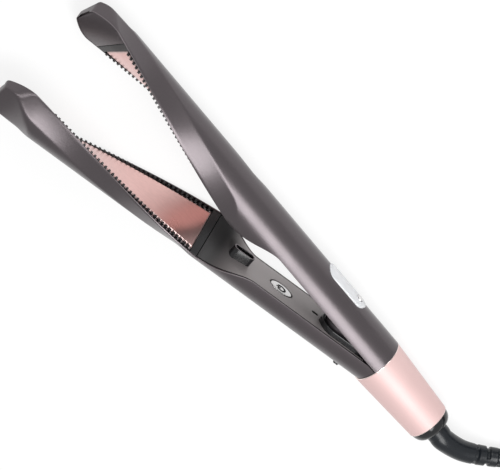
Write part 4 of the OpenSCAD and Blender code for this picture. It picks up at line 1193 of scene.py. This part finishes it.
class STRAIGHTENER_OT_studio(bpy.types.Operator):
    """Makes the floor, the lamps, the backdrop and the camera"""
    bl_idname = "straightener.studio"
    bl_label = "Studio"

    def execute(self, context):
        self.floor()
        self.world()
        self.lamps()
        self.camera(context)
        context.scene.view_settings.view_transform = "Standard"
        return {"FINISHED"}

    def floor(self):
        """White paper that glows wherever it is seen, so that it is about as bright as the backdrop."""
        mesh = bpy.data.meshes.new("floor")
        s = 6.0
        mesh.from_pydata([(-s, -s, 0), (s, -s, 0), (s, s, 0), (-s, s, 0)], [], [(0, 1, 2, 3)])
        floor = link("floor", mesh)
        paper, tree, shader = new_material("floor_paper")
        feed(tree, shader, {"Base Color": (0.86, 0.86, 0.86, 1), "Roughness": 0.9})
        rays = node(tree, "LightPath").outputs
        sees = node(tree, "Math", {0: rays["Is Camera Ray"], 1: rays["Is Glossy Ray"]}, operation="MAXIMUM")
        both = node(tree, "Math", {0: sees.outputs[0], 1: rays["Is Transmission Ray"]}, operation="MAXIMUM")
        part = node(tree, "Math", {0: both.outputs[0], 1: 0.80}, operation="MULTIPLY")
        glow = node(tree, "Emission").outputs[0]
        mix = node(tree, "MixShader", {"Fac": part.outputs[0], 1: shader.outputs[0], 2: glow})
        feed(tree, tree.nodes["Material Output"], {"Surface": mix.outputs[0]})
        mesh.materials.append(paper)

    def world(self):
        """A plain backdrop, brighter to the camera than as a light."""
        world = bpy.data.worlds.new("studio")
        bpy.context.scene.world = world
        world.use_nodes = True
        tree = world.node_tree
        seen = node(tree, "LightPath").outputs["Is Camera Ray"]
        white = node(tree, "MapRange", {"To Min": 0.62, "To Max": 1.0, "Value": seen}).outputs["Result"]
        feed(tree, tree.nodes["Background"], {"Color": (1, 1, 1, 1), "Strength": white})

    def lamps(self):
        for name, place, aim, size, power in (
            ("key_lamp", (-0.34, -0.16, 0.86), (0, 0, 0), (0.55, 0.6), 7.0),
            ("edge_lamp", (0.5, -0.7, 0.55), (0, 0, 0.02), (0.9, 0.3), 3.0),
        ):
            data = bpy.data.lights.new(name, "AREA")
            data.shape = "RECTANGLE"
            data.size, data.size_y = size
            data.energy = power
            lamp = link(name, data)
            lamp.location = place
            lamp.rotation_euler = (Vector(aim) - Vector(place)).to_track_quat("-Z", "Y").to_euler()

    def camera(self, context):
        """Stands far off, nearly square to the table, turned so that the tool points up and left."""
        azimuth, elevation, roll = radians(-43.8), radians(61.6), radians(130.26)
        width, height, sensor, distance = 500, 470, 36, 6.0
        pixels_per_millimetre = 1.8438
        metres_per_pixel = MM / pixels_per_millimetre
        sleeve_x, sleeve_y = 376.3, 360.0       # Where the middle of the sleeve's front shows in the frame
        towards = Vector((cos(elevation) * cos(azimuth), cos(elevation) * sin(azimuth),
                          sin(elevation)))
        along = (Vector((1, 0, 0)) - towards * towards.x).normalized()
        other = towards.cross(along)
        right = along * cos(roll) - other * sin(roll)
        up = along * sin(roll) + other * cos(roll)
        aim = (straight((0, 0, 0)) + right * (width / 2 - sleeve_x) * metres_per_pixel
               + up * (sleeve_y - height / 2) * metres_per_pixel)
        data = bpy.data.cameras.new("camera")
        data.sensor_width = sensor
        data.lens = sensor * distance / (width * metres_per_pixel)
        data.clip_start, data.clip_end = 0.1, 30
        camera = link("camera", data)
        camera.matrix_world = (Matrix.Translation(aim + towards * distance)
                               @ Matrix((right, up, towards)).transposed().to_4x4())
        context.scene.camera = camera


class STRAIGHTENER_PT_panel(bpy.types.Panel):
    """Lists the steps that build the straightener"""
    bl_idname = "STRAIGHTENER_PT_panel"
    bl_label = "Straightener"
    bl_space_type = "VIEW_3D"
    bl_region_type = "UI"
    bl_category = "Straightener"

    def draw(self, context):
        for step in STEPS:
            self.layout.operator(step.bl_idname)
        for group in GROUPS:
            settings = getattr(context.scene, "straightener_" + group)
            for name in settings.__annotations__:
                self.layout.prop(settings, name)


GROUPS = {"arm": ArmSizes, "plate": PlateSizes, "tip": TipSizes, "handle": HandleSizes, "finish": Finishes}
STEPS = [
    STRAIGHTENER_OT_studio, STRAIGHTENER_OT_cord, STRAIGHTENER_OT_shells, STRAIGHTENER_OT_tip_covers,
    STRAIGHTENER_OT_plates, STRAIGHTENER_OT_carriers, STRAIGHTENER_OT_combs, STRAIGHTENER_OT_covers,
    STRAIGHTENER_OT_hinge, STRAIGHTENER_OT_controls, STRAIGHTENER_OT_display, STRAIGHTENER_OT_handle,
    STRAIGHTENER_OT_inside,
]


def register():
    for group, kind in GROUPS.items():
        bpy.utils.register_class(kind)
        setattr(bpy.types.Scene, "straightener_" + group, PointerProperty(type=kind))
    for kind in STEPS + [STRAIGHTENER_PT_panel]:
        bpy.utils.register_class(kind)


def unregister():
    for kind in reversed(STEPS + [STRAIGHTENER_PT_panel]):
        bpy.utils.unregister_class(kind)
    for group, kind in GROUPS.items():
        delattr(bpy.types.Scene, "straightener_" + group)
        bpy.utils.unregister_class(kind)


def main():
    register()
    for step in STEPS:
        space, name = step.bl_idname.split(".")
        getattr(getattr(bpy.ops, space), name)()


if __name__ == "__main__":
    main()
